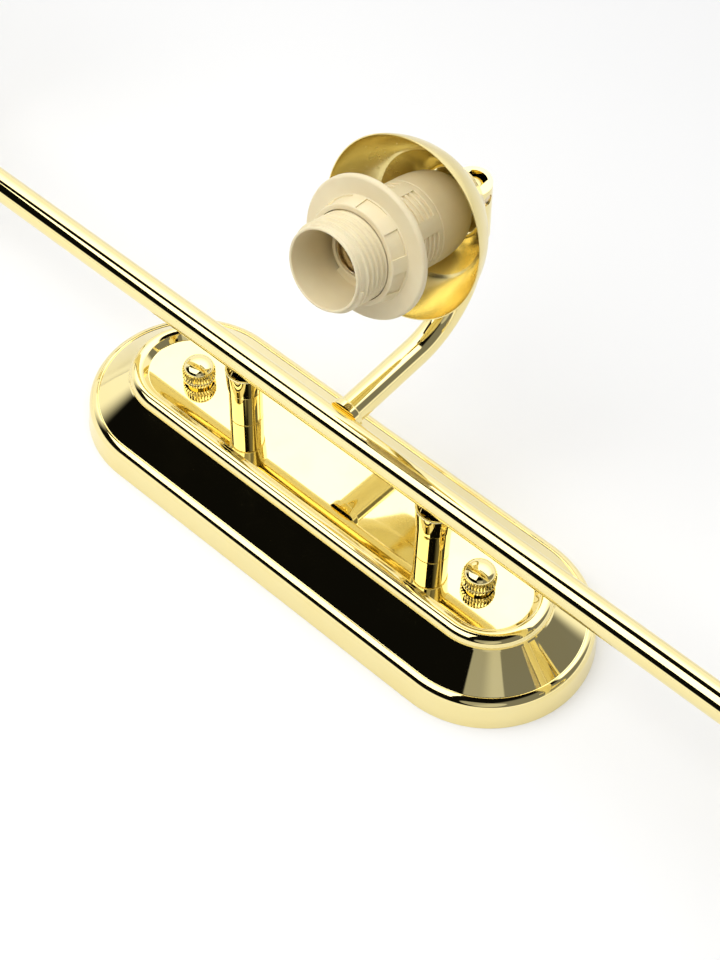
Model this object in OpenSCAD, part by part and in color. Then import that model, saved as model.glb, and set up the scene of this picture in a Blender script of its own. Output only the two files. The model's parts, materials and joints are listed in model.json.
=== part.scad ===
// Three-light wall lamp: pressed oval backplate, bar on two posts, bent arms with swivel heads.
// The shapes are drawn with the backplate lying on its back, face up, and are hung on the wall at the end.

/* [Backplate] */
// Overall length of the backplate
plate_length = 200.6; // [190:0.1:215]
// Overall width of the backplate
plate_width = 71.6; // [68:0.1:76]
// Sheet thickness of the pressed backplate
plate_wall = 1.2; // [0.8:0.1:1.6]
// Height of the rounded outer rim above the wall
rim_height = 11.4; // [10.6:0.1:12.4]
// Radius of the outer rim's shoulder
rim_round = 4; // [3:0.1:5]
// Sweep of that shoulder, in degrees
rim_sweep = 75; // [65:1:80]
// How far the rim leans in from its foot to its shoulder
rim_taper = 0.9; // [0.4:0.1:1.6]
// Depth of the groove between the rim and the slope
groove_depth = 0.4; // [0.2:0.1:0.8]
// Inset of the slope's foot from the plate's edge
slope_foot_inset = 4.2; // [4:0.1:5]
// Inset of the slope's top from the plate's edge
slope_top_inset = 15; // [13:0.1:15.2]
// Height of the slope's top above the wall
slope_top_height = 19.9; // [18:0.1:20]
// Inset of the raised bead's crest from the plate's edge
bead_inset = 18.5; // [18:0.1:19]
// Height of the raised bead's crest above the wall
bead_height = 24; // [23.4:0.1:25]
// Radius of the raised bead
bead_round = 3.1; // [2.6:0.1:3.4]
// Angle where the bead's outer flank starts, below level
bead_foot_angle = 10; // [0:1:15]
// Angle where the bead's inner flank ends, past level on its outer side
bead_end_angle = 125; // [115:1:135]
// Inset of the flat panel from the plate's edge
panel_inset = 21.8; // [21.2:0.1:23]
// Height of the flat panel's face above the wall
panel_height = 21.6; // [21:0.1:22.6]

/* [Wall bracket] */
// Length of the steel strap behind the plate
bracket_length = 136; // [132:1:142]
// Width of the strap
bracket_width = 20; // [18:1:26]
// Thickness of the strap
bracket_thick = 2; // [1.5:0.1:3]
// Distance between the middles of the wall screw slots
slot_spacing = 75; // [70:1:80]
// Length of a wall screw slot, end to end
slot_length = 15; // [12:1:18]
// Width of a wall screw slot
slot_width = 5; // [4.5:0.1:6]
// Distance from a fixing stud to the strap's end
stud_end_gap = 7.7; // [6:0.1:10]
// Diameter of a fixing stud
stud_d = 5; // [4:0.5:6]
// Length of stud above the panel's face
stud_reach = 6.5; // [5:0.1:7]
// Width across the flats of a stud's lock nut
lock_nut_flats = 8; // [8:0.5:10]
// Height of a stud's lock nut
lock_nut_height = 4; // [3:0.1:5]
// Diameter of the hole for the mains wires
wire_hole_d = 9; // [7:0.5:10]
// Place of that hole along the strap
wire_hole_x = 12; // [10:0.5:13]
// Place of the earth screw along the strap
earth_x = 23; // [22.5:0.5:25]
// Diameter of the earth screw's thread
earth_d = 4; // [3:0.5:4]
// Diameter of the earth screw's head
earth_head_d = 7.6; // [6.5:0.1:8.4]
// Height of the earth screw's head
earth_head_height = 2.4; // [1.8:0.1:3]
// Diameter of the earth screw's washer
earth_washer_d = 8.8; // [7.5:0.1:10]
// Thickness of the earth screw's washer
earth_washer_thick = 1; // [0.6:0.1:1.4]
// Width of the slot in the heads of the earth and terminal screws
driver_slot_width = 0.8; // [0.5:0.1:1]
// Depth of that slot
driver_slot_depth = 1; // [0.6:0.1:1.4]
// Clearance round a stud where it passes the plate
stud_gap = 0.4; // [0.2:0.05:0.6]

/* [Terminal block] */
// Number of poles
poles = 3; // [2:1:3]
// Pitch of the poles
pole_pitch = 8; // [7:0.5:8]
// Depth of the block across the strap
block_depth = 16; // [14:0.5:18]
// Height of the block
block_height = 12; // [10.5:0.5:13]
// Depth of the bridge that joins the poles
bridge_depth = 8; // [5:0.5:10]
// Height of that bridge
bridge_height = 6; // [4:0.5:8]
// Place of the block's middle along the strap
block_x = -10; // [-13:0.5:-8]
// Diameter of a terminal screw
terminal_screw_d = 3.4; // [2.5:0.1:4]
// Depth of a terminal screw's head below the block's top
terminal_sink = 0.2; // [0.1:0.1:0.6]
// Distance between the two rows of terminal screws
terminal_row_gap = 8; // [6:0.5:10]
// Diameter of a wire way through the block
wire_way_d = 4.6; // [3.6:0.1:5]
// Height of the wire ways above the strap
wire_way_height = 6; // [5:0.1:6.5]
// Wire space between the terminal screws and the floor of the wire ways
wire_grip = 3.5; // [2.4:0.1:3.6]

/* [Cap nuts] */
// Diameter over the knurled band
cap_nut_d = 11; // [10:0.1:12]
// Height of the knurled band
cap_nut_band = 6; // [4:0.1:6.6]
// Height of the whole nut
cap_nut_height = 8.6; // [8.4:0.1:12]
// Diameter of the neck between band and dome
cap_nut_neck_d = 9.2; // [8:0.1:9.8]
// How full the dome is: 2 is round and 4 is nearly flat on top
cap_nut_fullness = 2.1; // [2:0.1:4]
// Diameter of the foot under that band
cap_nut_foot_d = 9; // [8.6:0.1:9.6]
// Height of that foot
cap_nut_foot = 0.6; // [0.3:0.1:1]

/* [Posts] */
// Distance between the two posts
post_spacing = 80; // [78:0.1:82]
// How far the pair of posts sits to the right of the plate's middle
post_shift = 1.4; // [0:0.1:2]
// Diameter of a post
post_d = 11.1; // [10:0.1:12]
// Height of a post, from the panel to its seam with the saddle
post_height = 14; // [12:0.1:16]
// Diameter of the post's threaded end
post_thread_d = 8; // [7:0.5:8]
// Length of the threaded end that stands past its nut
post_thread_past = 1; // [0.5:0.1:2]
// Wire way through a post
post_bore_d = 4; // [3:0.5:5]
// Thickness of the washer under the plate
post_washer_thick = 1; // [0.8:0.1:1.4]
// Diameter of the washer under the plate
post_washer_d = 16; // [14.5:0.5:18]
// Width across the flats of the post's nut
post_nut_flats = 13; // [12:0.5:14]
// Height of the post's nut
post_nut_height = 4; // [3:0.1:5]
// Diameter of the saddle's foot
saddle_foot_d = 11.7; // [11:0.1:12.4]
// Diameter of the saddle's flared top
saddle_top_d = 12.8; // [12:0.1:13.6]
// How far the saddle reaches up beside the bar
saddle_grip = 1.2; // [0.6:0.1:2]
// Wall round the saddle's hollow
saddle_wall = 0.9; // [0.6:0.1:1.4]
// Depth of the saddle's hollow
saddle_hollow = 5; // [3:0.1:6.5]

/* [Bar] */
// Diameter of the bar
bar_d = 10; // [9.4:0.1:10.6]
// Wall of the bar's tube
bar_wall = 1; // [0.8:0.1:1.4]
// Length of the bar without its caps
bar_length = 524; // [518:1:540]
// Diameter of the wire hole in the bar under each arm
bar_hole_d = 6.7; // [5:0.1:7]
// Height of the bar's axis above the panel's face
bar_stand = 26.7; // [25:0.1:28]
// Diameter of an end cap
end_cap_d = 11.4; // [11:0.1:13]
// Length of an end cap's head
end_cap_length = 5; // [4:0.1:7]
// Radius of an end cap's rounded edge
end_cap_round = 4; // [2:0.1:4]
// Length of an end cap's spigot in the bar
end_cap_spigot = 5; // [3:0.1:6]

/* [Arms] */
// Distance from an outer arm to the bar's end
arm_end_gap = 12; // [10:1:22]
// Diameter of an arm
arm_d = 9.5; // [9:0.1:10]
// Wall of an arm's tube
arm_wall = 0.9; // [0.7:0.1:1.2]
// Tilt of the whole right-angled arm about the bar, in degrees
arm_tilt = 3.5; // [0:0.1:6]
// Distance from the bar's axis to the corner of the bend, along the arm
arm_reach = 63.5; // [60:0.1:70]
// Radius of the bend at the tube's middle
arm_bend_r = 26; // [24:0.1:28]
// Straight run after the bend
arm_end_run = 7.9; // [5:0.1:12]
// Diameter of the brazed collar at the arm's root
collar_d = 11.4; // [10.8:0.1:12]
// Length of that collar
collar_length = 2; // [1.5:0.1:3]

/* [Swivels] */
// Diameter of the knuckle
knuckle_d = 12.4; // [11.8:0.1:13]
// Height of the knuckle's flat end above the pivot
knuckle_end = 4.1; // [3.6:0.1:5]
// Bevel round that end
knuckle_edge = 0.4; // [0.2:0.1:0.8]
// Height of the pivot above the arm's end
pivot_height = 19.5; // [17:0.1:22]
// Width across the flats of the tongue's ball-shaped end
tongue_thick = 5.8; // [5:0.1:6]
// Radius of that end
tongue_r = 4.3; // [4:0.1:4.4]
// Diameter of the tongue's neck
neck_d = 4.8; // [4.4:0.1:4.9]
// Diameter of the pivot pin
pivot_d = 4; // [3:0.1:4]
// Depth of the pin's ends below the knuckle's surface
pivot_sink = 0.5; // [0.3:0.1:0.8]
// Distance from the pivot to the tongue's shoulder
shoulder_reach = 7.6; // [6.9:0.1:8]
// Thickness of that shoulder
shoulder_thick = 1; // [0.8:0.1:2]
// Diameter of that shoulder
shoulder_d = 11; // [10.6:0.1:12]
// Diameter of the threaded stem
stem_d = 9.8; // [9:0.1:10]
// Length of the threaded stem above the shoulder
stem_length = 14; // [12:0.1:16]
// Wire way in the stem
stem_bore_d = 6; // [4:0.5:7]
// Swing of the head from the arm's own line, in degrees
head_swing = 72.1; // [60:0.1:80]
// Length of the knuckle's spigot in the arm
knuckle_spigot = 6; // [4:0.1:7]
// Wire way in the knuckle
knuckle_bore_d = 4; // [3:0.5:5]

/* [Cups] */
// Diameter of the cup's rim
cup_d = 56.4; // [52:0.1:60]
// Depth of the cup from its back to its rim
cup_depth = 25.4; // [24:0.1:29]
// Sheet thickness of the cup
cup_wall = 0.7; // [0.6:0.1:1.2]
// Diameter of the cup's conical recess at its edge
recess_d = 38.2; // [36:0.1:40]
// Depth of that recess
recess_depth = 10.9; // [10:0.1:12.5]
// Diameter of the recess's flat floor
recess_floor_d = 22; // [20:0.1:26]
// How straight the flare runs: 1 is a round bowl and 2 is a cone
flare_straightness = 1.5; // [1.1:0.1:2]
// Gap between the washer in the cup and the foot of the recess's wall
cup_washer_gap = 0.2; // [0.1:0.1:1]
// Thickness of the washer in the cup
cup_washer_thick = 0.8; // [0.6:0.1:1.5]
// Width across the flats of the nut that clamps the cup
stem_nut_flats = 14; // [13.5:0.5:16]
// Height of the nut that clamps the cup
stem_nut_height = 3; // [2.5:0.1:3.5]

/* [Lampholders] */
// Distance from the pivot to the lampholder's mouth
mouth_reach = 68.4; // [67:0.1:72]
// Diameter of the lampholder's body
holder_d = 27.2; // [26.6:0.1:28]
// Diameter of the mouth's lip
mouth_d = 25.1; // [24.6:0.1:25.8]
// Length of the plain lip at the mouth
lip_length = 1.4; // [1:0.1:2.5]
// Diameter inside the mouth
mouth_bore_d = 23.4; // [22:0.1:23.8]
// Length of the sleeve from its seam with the rear cap to the mouth
sleeve_length = 37; // [36:0.1:38]
// Depth of the mouth down to the contact carrier
mouth_depth = 14; // [12:0.1:16]
// Length of the ribbed windows
window_length = 11.4; // [9:0.1:12]
// Plain band between the seam and the windows
window_start = 2.2; // [1.5:0.1:3]
// Depth of the windows
window_depth = 0.8; // [0.5:0.1:1]
// Number of windows round the sleeve
window_count = 6; // [4:1:8]
// Width of the bar between two windows, in degrees
window_bar = 20; // [12:1:26]
// Turn of the first window about the sleeve, in degrees
window_turn = 7; // [0:1:30]
// Number of ribs in a window
rib_count = 5; // [3:1:6]
// Thickness of a rib
rib_thick = 1; // [0.7:0.1:1.2]
// Diameter of the rear cap's narrow end
rear_cap_nose_d = 17; // [16.5:0.1:20]
// Thickness of the rear cap's floor, which is tapped for the stem
rear_cap_floor = 6; // [4:0.1:7]
// Wall of the rear cap
rear_cap_wall = 2; // [1.5:0.1:2.5]
// Plain band between the rear cap's dome and its seam with the sleeve
rear_cap_band = 4.6; // [3:0.1:6]
// Inner diameter of the screw shell for the lamp
shell_bore_d = 14; // [13.9:0.1:14.4]
// Wall of the screw shell
shell_wall = 0.5; // [0.4:0.1:0.7]
// Length of the screw shell
shell_length = 15; // [13:0.1:16]
// Thickness of the carrier's floor below the screw shell
carrier_floor = 6; // [5:0.1:7]
// Diameter of the centre contact's foot
contact_d = 5; // [4:0.1:7]
// Thickness of the centre contact's foot
contact_foot = 1.5; // [1:0.1:2]
// Diameter of the centre contact's tip
contact_tip_d = 2.5; // [2:0.1:3.5]
// Height of the centre contact, whose tip is level with the shell's floor
contact_rise = 3; // [2.2:0.1:4]

/* [Shade rings] */
// Diameter of the ring's flange
ring_d = 43.4; // [41:0.1:45]
// Thickness of the flange
ring_thick = 2; // [1.8:0.1:3]
// Bevel on the flange's edge
ring_edge = 0.4; // [0.2:0.1:0.8]
// Bevel at the front of the ring's edge
ring_bevel = 1; // [0.4:0.1:1]
// Diameter of the ring's collar at its foot
ring_collar_d = 32.2; // [31.6:0.1:34]
// Height of the ring's collar
ring_collar_height = 5.6; // [3.5:0.1:6.5]
// How far the collar draws in towards its front
ring_collar_draw = 0.9; // [0.4:0.1:1.2]
// Distance from the mouth back to the collar's front
ring_setback = 11.8; // [9:0.1:13]
// Number of grip notches in the collar
notch_count = 8; // [6:1:12]
// Width of a notch
notch_width = 1.6; // [1:0.1:2.4]
// Depth of a notch
notch_depth = 0.6; // [0.3:0.1:0.9]

/* [Fits] */
// Radial clearance of a running fit
running_gap = 0.07; // [0.03:0.01:0.1]
// Radial clearance of a pushed-in or screwed fit
push_gap = 0.02; // [0.01:0.01:0.05]
// Clearance each side of the tongue in its slot, and beside a terminal
side_gap = 0.2; // [0.1:0.05:0.3]
// Clearance under a cap nut and over its stud
nut_gap = 0.1; // [0.05:0.05:0.2]
// Clearance round the tongue's end in the slot
end_gap = 0.4; // [0.3:0.05:0.6]

/* [Hidden] */
$fn = 64;
// How far a cut runs past the face that it opens
over = 1;
sides = ["left", "centre", "right"];
half_width = plate_width / 2;
plate_straight = plate_length - plate_width;
panel_back = panel_height - plate_wall;
stud_spacing = bracket_length - 2 * stud_end_gap;
bar_height = panel_height + bar_stand;
bar_r = bar_d / 2;
arm_spacing = bar_length / 2 - arm_end_gap;
arm_run = arm_reach - arm_bend_r;
knuckle_r = knuckle_d / 2;
slot_r = tongue_r + end_gap;
slot_half = tongue_thick / 2 + side_gap;
cup_back = shoulder_reach + shoulder_thick;
cup_floor = cup_back + cup_wall;
washer_top = cup_floor + cup_washer_thick;
recess_lean = (recess_d - recess_floor_d) / 2 / recess_depth;
recess_skin = cup_wall * (sqrt(1 + pow(recess_lean, 2)) - recess_lean);
stem_nut_top = washer_top + stem_nut_height;
sleeve_start = mouth_reach - sleeve_length;
mouth_floor = mouth_reach - mouth_depth;
shell_start = mouth_floor - shell_length;
shell_r = shell_bore_d / 2 + shell_wall;
ring_front = mouth_reach - ring_setback;
ring_bore_r = holder_d / 2 + running_gap;
gold = [0.86, 0.7, 0.28];
cream = [0.89, 0.83, 0.67];
brass = [0.78, 0.62, 0.3];
steel = [0.72, 0.73, 0.75];
white = [0.93, 0.93, 0.91];
arc_steps = 8;

function polar(r, angle) = r * [cos(angle), sin(angle)];
function arc(c, r, from, to) =
    [for (i = [0 : arc_steps]) c + polar(r, from + (to - from) * i / arc_steps)];
function side_x(side) = (side - 1) * arm_spacing;
function mirrored(points) = [for (i = [len(points) - 2 : -1 : 1]) [-points[i][0], points[i][1]]];

// Half section of the pressed plate, from the wall out over the rim, slope and bead to the panel's middle
plate_section = concat(
    [[0, 0], [half_width, 0]],
    arc([half_width - rim_taper - rim_round, rim_height - rim_round], rim_round, 0, rim_sweep),
    [[half_width - slope_foot_inset, rim_height - groove_depth]],
    [[half_width - slope_top_inset, slope_top_height]],
    arc([half_width - bead_inset, bead_height - bead_round], bead_round, -bead_foot_angle, bead_end_angle),
    [[half_width - panel_inset, panel_height], [0, panel_height]]
);
// The same section on the sheet's inner side
slope_rise = slope_top_height - rim_height + groove_depth;
slope_run = slope_top_inset - slope_foot_inset;
slope_normal = [slope_rise, slope_run] / norm([slope_rise, slope_run]);
plate_hollow = concat(
    [[0, -over], [half_width - plate_wall, -over]],
    arc([half_width - rim_taper - rim_round, rim_height - rim_round], rim_round - plate_wall, 0, rim_sweep),
    [[half_width - slope_foot_inset, rim_height - groove_depth] - plate_wall * slope_normal],
    [[half_width - slope_top_inset, slope_top_height] - plate_wall * slope_normal],
    arc(
        [half_width - bead_inset, bead_height - bead_round], bead_round - plate_wall,
        -bead_foot_angle, bead_end_angle
    ),
    [[half_width - panel_inset + plate_wall / 2, panel_back], [0, panel_back]]
);

// Stands the lying lamp up against the wall: the arms point up and the plate faces -Y
module hung() {
    rotate([90, 0, 0]) children();
}

// Sweeps a half section round the plate's oval
module oval(points) {
    for (side = [-1, 1])
        translate([side * plate_straight / 2, 0, 0])
            rotate([0, 0, -side * 90])
                rotate_extrude(angle = 180) polygon(points);
    translate([-plate_straight / 2, 0, 0])
        rotate([90, 0, 90])
            linear_extrude(plate_straight) polygon(concat(points, mirrored(points)));
}

module at_studs() {
    for (side = [-1, 1])
        translate([side * stud_spacing / 2, 0, 0]) children();
}

module at_post(side) {
    translate([post_shift + side * post_spacing / 2, 0, panel_height]) children();
}

module at_posts() {
    for (side = [-1, 1])
        at_post(side) children();
}

module hex(flats, height) {
    cylinder(d = flats / cos(30), h = height, $fn = 6);
}

// A tube's ring of metal from one height to another
module ring(outer_r, inner_r, low, high) {
    rotate_extrude()
        translate([inner_r, low])
            square([outer_r - inner_r, high - low]);
}

// Frame at the root of an arm: y runs along the arm
module arm_root(side) {
    translate([side_x(side), 0, bar_height])
        rotate([arm_tilt, 0, 0]) children();
}

// Frame at the end of an arm's tube: z runs on along the tube
module arm_end(side) {
    arm_root(side)
        translate([0, arm_reach, arm_bend_r + arm_end_run]) children();
}

// Frame of a head at rest: the pivot is its origin and z runs to the lampholder's mouth
module head(side) {
    arm_end(side)
        translate([0, 0, pivot_height])
            rotate([head_swing, 0, 0]) children();
}

// Cross-section of an arm's tube
module arm_section() {
    difference() {
        circle(d = arm_d);
        circle(d = arm_d - 2 * arm_wall);
    }
}

// An arm's tube along its path: straight, bend and straight
module arm_tube() {
    rotate([-90, 0, 0])
        linear_extrude(arm_run) arm_section();
    translate([0, arm_run, arm_bend_r])
        rotate([0, 90, 0])
            rotate_extrude(angle = 90)
                translate([arm_bend_r, 0]) arm_section();
    translate([0, arm_reach, arm_bend_r])
        linear_extrude(arm_end_run) arm_section();
}

module bar_space(gap) {
    translate([-bar_length / 2 - end_cap_length, 0, bar_height])
        rotate([0, 90, 0])
            cylinder(r = bar_r + gap, h = bar_length + 2 * end_cap_length);
}

module backplate() {
    color(gold) hung() difference() {
        oval(plate_section);
        oval(plate_hollow);
        at_studs() cylinder(d = stud_d + 2 * stud_gap, h = bead_height);
        at_posts()
            translate([0, 0, -plate_wall - over])
                cylinder(d = post_thread_d + 2 * push_gap, h = plate_wall + 2 * over);
    }
}

module wall_bracket() {
    color(steel) hung() difference() {
        union() {
            translate([-(bracket_length - bracket_width) / 2, -bracket_width / 2, 0])
                cube([bracket_length - bracket_width, bracket_width, bracket_thick]);
            for (side = [-1, 1])
                translate([side * (bracket_length - bracket_width) / 2, 0, 0])
                    cylinder(d = bracket_width, h = bracket_thick);
        }
        at_studs()
            translate([0, 0, -over]) cylinder(d = stud_d + 2 * push_gap, h = bracket_thick + 2 * over);
        for (side = [-1, 1])
            translate([side * slot_spacing / 2, 0, -over]) {
                for (end = [-1, 1])
                    translate([end * (slot_length - slot_width) / 2, 0, 0])
                        cylinder(d = slot_width, h = bracket_thick + 2 * over);
                translate([-(slot_length - slot_width) / 2, -slot_width / 2, 0])
                    cube([slot_length - slot_width, slot_width, bracket_thick + 2 * over]);
            }
        translate([wire_hole_x, 0, -over])
            cylinder(d = wire_hole_d, h = bracket_thick + 2 * over);
        translate([earth_x, 0, -over])
            cylinder(d = earth_d + 2 * push_gap, h = bracket_thick + 2 * over);
    }
}

module bracket_studs() {
    color(steel) hung() at_studs()
        cylinder(d = stud_d, h = panel_height + stud_reach);
}

module stud_lock_nuts() {
    color(steel) hung() at_studs()
        translate([0, 0, bracket_thick]) difference() {
            hex(lock_nut_flats, lock_nut_height);
            translate([0, 0, -over]) cylinder(d = stud_d + 2 * push_gap, h = lock_nut_height + 2 * over);
        }
}

// Knurled nut with a neck and a domed top, blind bored for its stud
module cap_nut(side) {
    band_r = cap_nut_d / 2;
    neck_r = cap_nut_neck_d / 2;
    dome_height = cap_nut_height - cap_nut_band;
    edge = (band_r - neck_r) / 2;
    dome = [for (i = [0 : arc_steps]) [
        neck_r * pow(cos(90 * i / arc_steps), 2 / cap_nut_fullness),
        cap_nut_band + edge + (dome_height - edge) * pow(sin(90 * i / arc_steps), 2 / cap_nut_fullness)
    ]];
    color(gold) hung()
        translate([side * stud_spacing / 2, 0, panel_height + nut_gap]) difference() {
            rotate_extrude() polygon(concat(
                [[0, 0], [cap_nut_foot_d / 2, 0], [cap_nut_foot_d / 2, cap_nut_foot]],
                [[band_r - edge, cap_nut_foot], [band_r, cap_nut_foot + edge]],
                [[band_r, cap_nut_band - edge], [neck_r, cap_nut_band]],
                dome
            ));
            translate([0, 0, -over]) cylinder(r = stud_d / 2 + running_gap, h = stud_reach + over);
        }
}

module at_poles() {
    for (i = [0 : poles - 1])
        translate([block_x + (i - (poles - 1) / 2) * pole_pitch, 0, bracket_thick]) children();
}

module at_terminals() {
    at_poles()
        for (end = [-1, 1])
            translate([0, end * terminal_row_gap / 2, 0]) children();
}

// Slot for a screwdriver, cut down from height zero
module driver_slot(d) {
    translate([-d, -driver_slot_width / 2, -driver_slot_depth])
        cube([2 * d, driver_slot_width, driver_slot_depth + over]);
}

module terminal_block() {
    color(white) hung() difference() {
        union() {
            at_poles()
                translate([-pole_pitch / 2 + side_gap, -block_depth / 2, 0])
                    cube([pole_pitch - 2 * side_gap, block_depth, block_height]);
            translate([block_x - poles * pole_pitch / 2 + side_gap, -bridge_depth / 2, bracket_thick])
                cube([poles * pole_pitch - 2 * side_gap, bridge_depth, bridge_height]);
        }
        at_poles()
            translate([0, -block_depth / 2 - over, wire_way_height])
                rotate([-90, 0, 0]) cylinder(d = wire_way_d, h = block_depth + 2 * over);
        at_terminals()
            translate([0, 0, wire_way_height])
                cylinder(d = terminal_screw_d + 2 * push_gap, h = block_height);
    }
}

module terminal_screws() {
    foot = wire_way_height - wire_way_d / 2 + wire_grip;
    top = block_height - terminal_sink;
    color(brass) hung() at_terminals() difference() {
        translate([0, 0, foot]) cylinder(d = terminal_screw_d, h = top - foot);
        translate([0, 0, top]) driver_slot(terminal_screw_d);
    }
}

module earth_washer() {
    color(brass) hung()
        translate([earth_x, 0, bracket_thick])
            ring(earth_washer_d / 2, earth_d / 2 + push_gap, 0, earth_washer_thick);
}

module earth_screw() {
    shank = bracket_thick + earth_washer_thick;
    color(brass) hung()
        translate([earth_x, 0, 0]) difference() {
            union() {
                cylinder(d = earth_d, h = shank);
                translate([0, 0, shank]) cylinder(d = earth_head_d, h = earth_head_height);
            }
            translate([0, 0, shank + earth_head_height]) driver_slot(earth_head_d);
        }
}

module post(side) {
    thread_length = plate_wall + post_washer_thick + post_nut_height + post_thread_past;
    color(gold) hung() at_post(side) difference() {
        union() {
            cylinder(d = post_d, h = post_height);
            translate([0, 0, -thread_length]) cylinder(d = post_thread_d, h = thread_length);
        }
        translate([0, 0, -thread_length - over])
            cylinder(d = post_bore_d, h = thread_length + post_height + 2 * over);
    }
}

module post_washers() {
    color(steel) hung() at_posts()
        ring(post_washer_d / 2, post_thread_d / 2 + push_gap, -plate_wall - post_washer_thick, -plate_wall);
}

module post_nuts() {
    nut_low = -plate_wall - post_washer_thick - post_nut_height;
    color(steel) hung() at_posts()
        translate([0, 0, nut_low]) difference() {
            hex(post_nut_flats, post_nut_height);
            translate([0, 0, -over])
                cylinder(d = post_thread_d + 2 * push_gap, h = post_nut_height + 2 * over);
        }
}

// Flared and hollow top of a post, dished for the bar
module saddle(side) {
    saddle_top = bar_stand - bar_r + saddle_grip;
    hollow_floor = saddle_top - saddle_hollow;
    foot_r = saddle_foot_d / 2;
    top_r = saddle_top_d / 2;
    bore_r = post_bore_d / 2;
    color(gold) hung() difference() {
        at_post(side) rotate_extrude() polygon([
            [bore_r, post_height], [foot_r, post_height], [top_r, saddle_top],
            [top_r - saddle_wall, saddle_top], [foot_r - saddle_wall, hollow_floor], [bore_r, hollow_floor]
        ]);
        bar_space(push_gap);
    }
}

module bar() {
    color(gold) hung() difference() {
        translate([-bar_length / 2, 0, bar_height])
            rotate([0, 90, 0])
                cylinder(d = bar_d, h = bar_length);
        translate([-bar_length / 2 - over, 0, bar_height])
            rotate([0, 90, 0])
                cylinder(d = bar_d - 2 * bar_wall, h = bar_length + 2 * over);
        for (side = [0 : len(sides) - 1])
            arm_root(side)
                rotate([-90, 0, 0])
                    cylinder(d = bar_hole_d, h = bar_d);
        at_posts() cylinder(d = post_bore_d, h = bar_stand);
    }
}

// Rounded plug that closes an end of the bar
module end_cap(side) {
    cap_r = end_cap_d / 2;
    spigot_r = bar_r - bar_wall - push_gap;
    color(gold) hung()
        translate([side * bar_length / 2, 0, bar_height])
            rotate([0, side * 90, 0])
                rotate_extrude() polygon(concat(
                    [[0, -end_cap_spigot], [spigot_r, -end_cap_spigot], [spigot_r, 0], [cap_r, 0]],
                    arc([cap_r - end_cap_round, end_cap_length - end_cap_round], end_cap_round, 0, 90),
                    [[0, end_cap_length]]
                ));
}

module arm_collars() {
    color(gold) hung()
        for (side = [0 : len(sides) - 1])
            difference() {
                arm_root(side)
                    rotate([-90, 0, 0])
                        ring(collar_d / 2, arm_d / 2 + push_gap, 0, bar_r + collar_length);
                bar_space(push_gap);
            }
}

module arm(side) {
    color(gold) hung() difference() {
        arm_root(side) arm_tube();
        bar_space(push_gap);
    }
}

// Forked end of the arm: its pocket is open at the flat end and towards the head, and has a round far wall
module knuckle(side) {
    foot = knuckle_r - arm_d / 2;
    body = pivot_height + knuckle_end - knuckle_edge - foot;
    wide = 2 * slot_half;
    color(gold) hung() arm_end(side) difference() {
        union() {
            cylinder(r1 = arm_d / 2, r2 = knuckle_r, h = foot);
            translate([0, 0, foot]) cylinder(r = knuckle_r, h = body);
            translate([0, 0, foot + body])
                cylinder(r1 = knuckle_r, r2 = knuckle_r - knuckle_edge, h = knuckle_edge);
            translate([0, 0, -knuckle_spigot])
                cylinder(r = arm_d / 2 - arm_wall - push_gap, h = knuckle_spigot + foot);
        }
        translate([0, 0, pivot_height]) {
            intersection() {
                translate([0, 0, -knuckle_d]) cylinder(r = slot_r, h = 2 * knuckle_d);
                union() {
                    translate([-slot_half, 0, 0]) rotate([0, 90, 0]) cylinder(r = slot_r, h = wide);
                    translate([-slot_half, -slot_r, 0]) cube([wide, 2 * slot_r, knuckle_d]);
                }
            }
            translate([-slot_half, -knuckle_d, -slot_r]) cube([wide, knuckle_d, slot_r + knuckle_d]);
            translate([-knuckle_d, 0, 0])
                rotate([0, 90, 0]) cylinder(d = pivot_d + 2 * push_gap, h = 2 * knuckle_d);
        }
        translate([0, 0, -knuckle_spigot - over])
            cylinder(d = knuckle_bore_d, h = knuckle_spigot + pivot_height - slot_r + 2 * over);
    }
}

module pivot_pin(side) {
    half = knuckle_r - pivot_sink;
    color(brass) hung() arm_end(side)
        translate([-half, 0, pivot_height])
            rotate([0, 90, 0]) cylinder(d = pivot_d, h = 2 * half);
}

// Swivel tongue: a ball with two flats on a neck, with a shoulder and a hollow threaded stem
module tongue(side) {
    color(gold) hung() head(side) difference() {
        union() {
            intersection() {
                sphere(r = tongue_r);
                translate([-tongue_thick / 2, -tongue_r, -tongue_r])
                    cube([tongue_thick, 2 * tongue_r, 2 * tongue_r]);
            }
            cylinder(d = neck_d, h = shoulder_reach);
            translate([0, 0, shoulder_reach]) cylinder(d = shoulder_d, h = shoulder_thick);
            translate([0, 0, cup_back]) cylinder(d = stem_d, h = stem_length);
        }
        translate([-tongue_thick, 0, 0])
            rotate([0, 90, 0]) cylinder(r = pivot_d / 2 + running_gap, h = 2 * tongue_thick);
        translate([0, 0, cup_floor]) cylinder(d = stem_bore_d, h = stem_length);
    }
}

// Inside of the cup's flare, from the recess's edge to the rim
function flare(low, high) = [for (i = [0 : arc_steps]) [
    low[0] + (high[0] - low[0]) * pow(sin(90 * i / arc_steps), flare_straightness),
    high[1] - (high[1] - low[1]) * pow(cos(90 * i / arc_steps), flare_straightness)
]];
function reversed(points) = [for (i = [len(points) - 1 : -1 : 0]) points[i]];

// Spun cup: a flat back, a conical recess, a step and a flared bowl
module cup(side) {
    hole_r = stem_d / 2 + push_gap;
    recess_r = recess_d / 2;
    rim = cup_back + cup_depth;
    step = cup_floor + recess_depth;
    inside = concat(
        [[hole_r, cup_floor], [recess_floor_d / 2, cup_floor]],
        flare([recess_r, step], [cup_d / 2 - cup_wall, rim])
    );
    outside = concat(
        [[hole_r, cup_back], [recess_floor_d / 2 + recess_skin, cup_back]],
        flare([recess_r + recess_skin, step - cup_wall], [cup_d / 2, rim])
    );
    color(gold) hung() head(side)
        rotate_extrude() polygon(concat(outside, reversed(inside)));
}

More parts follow.
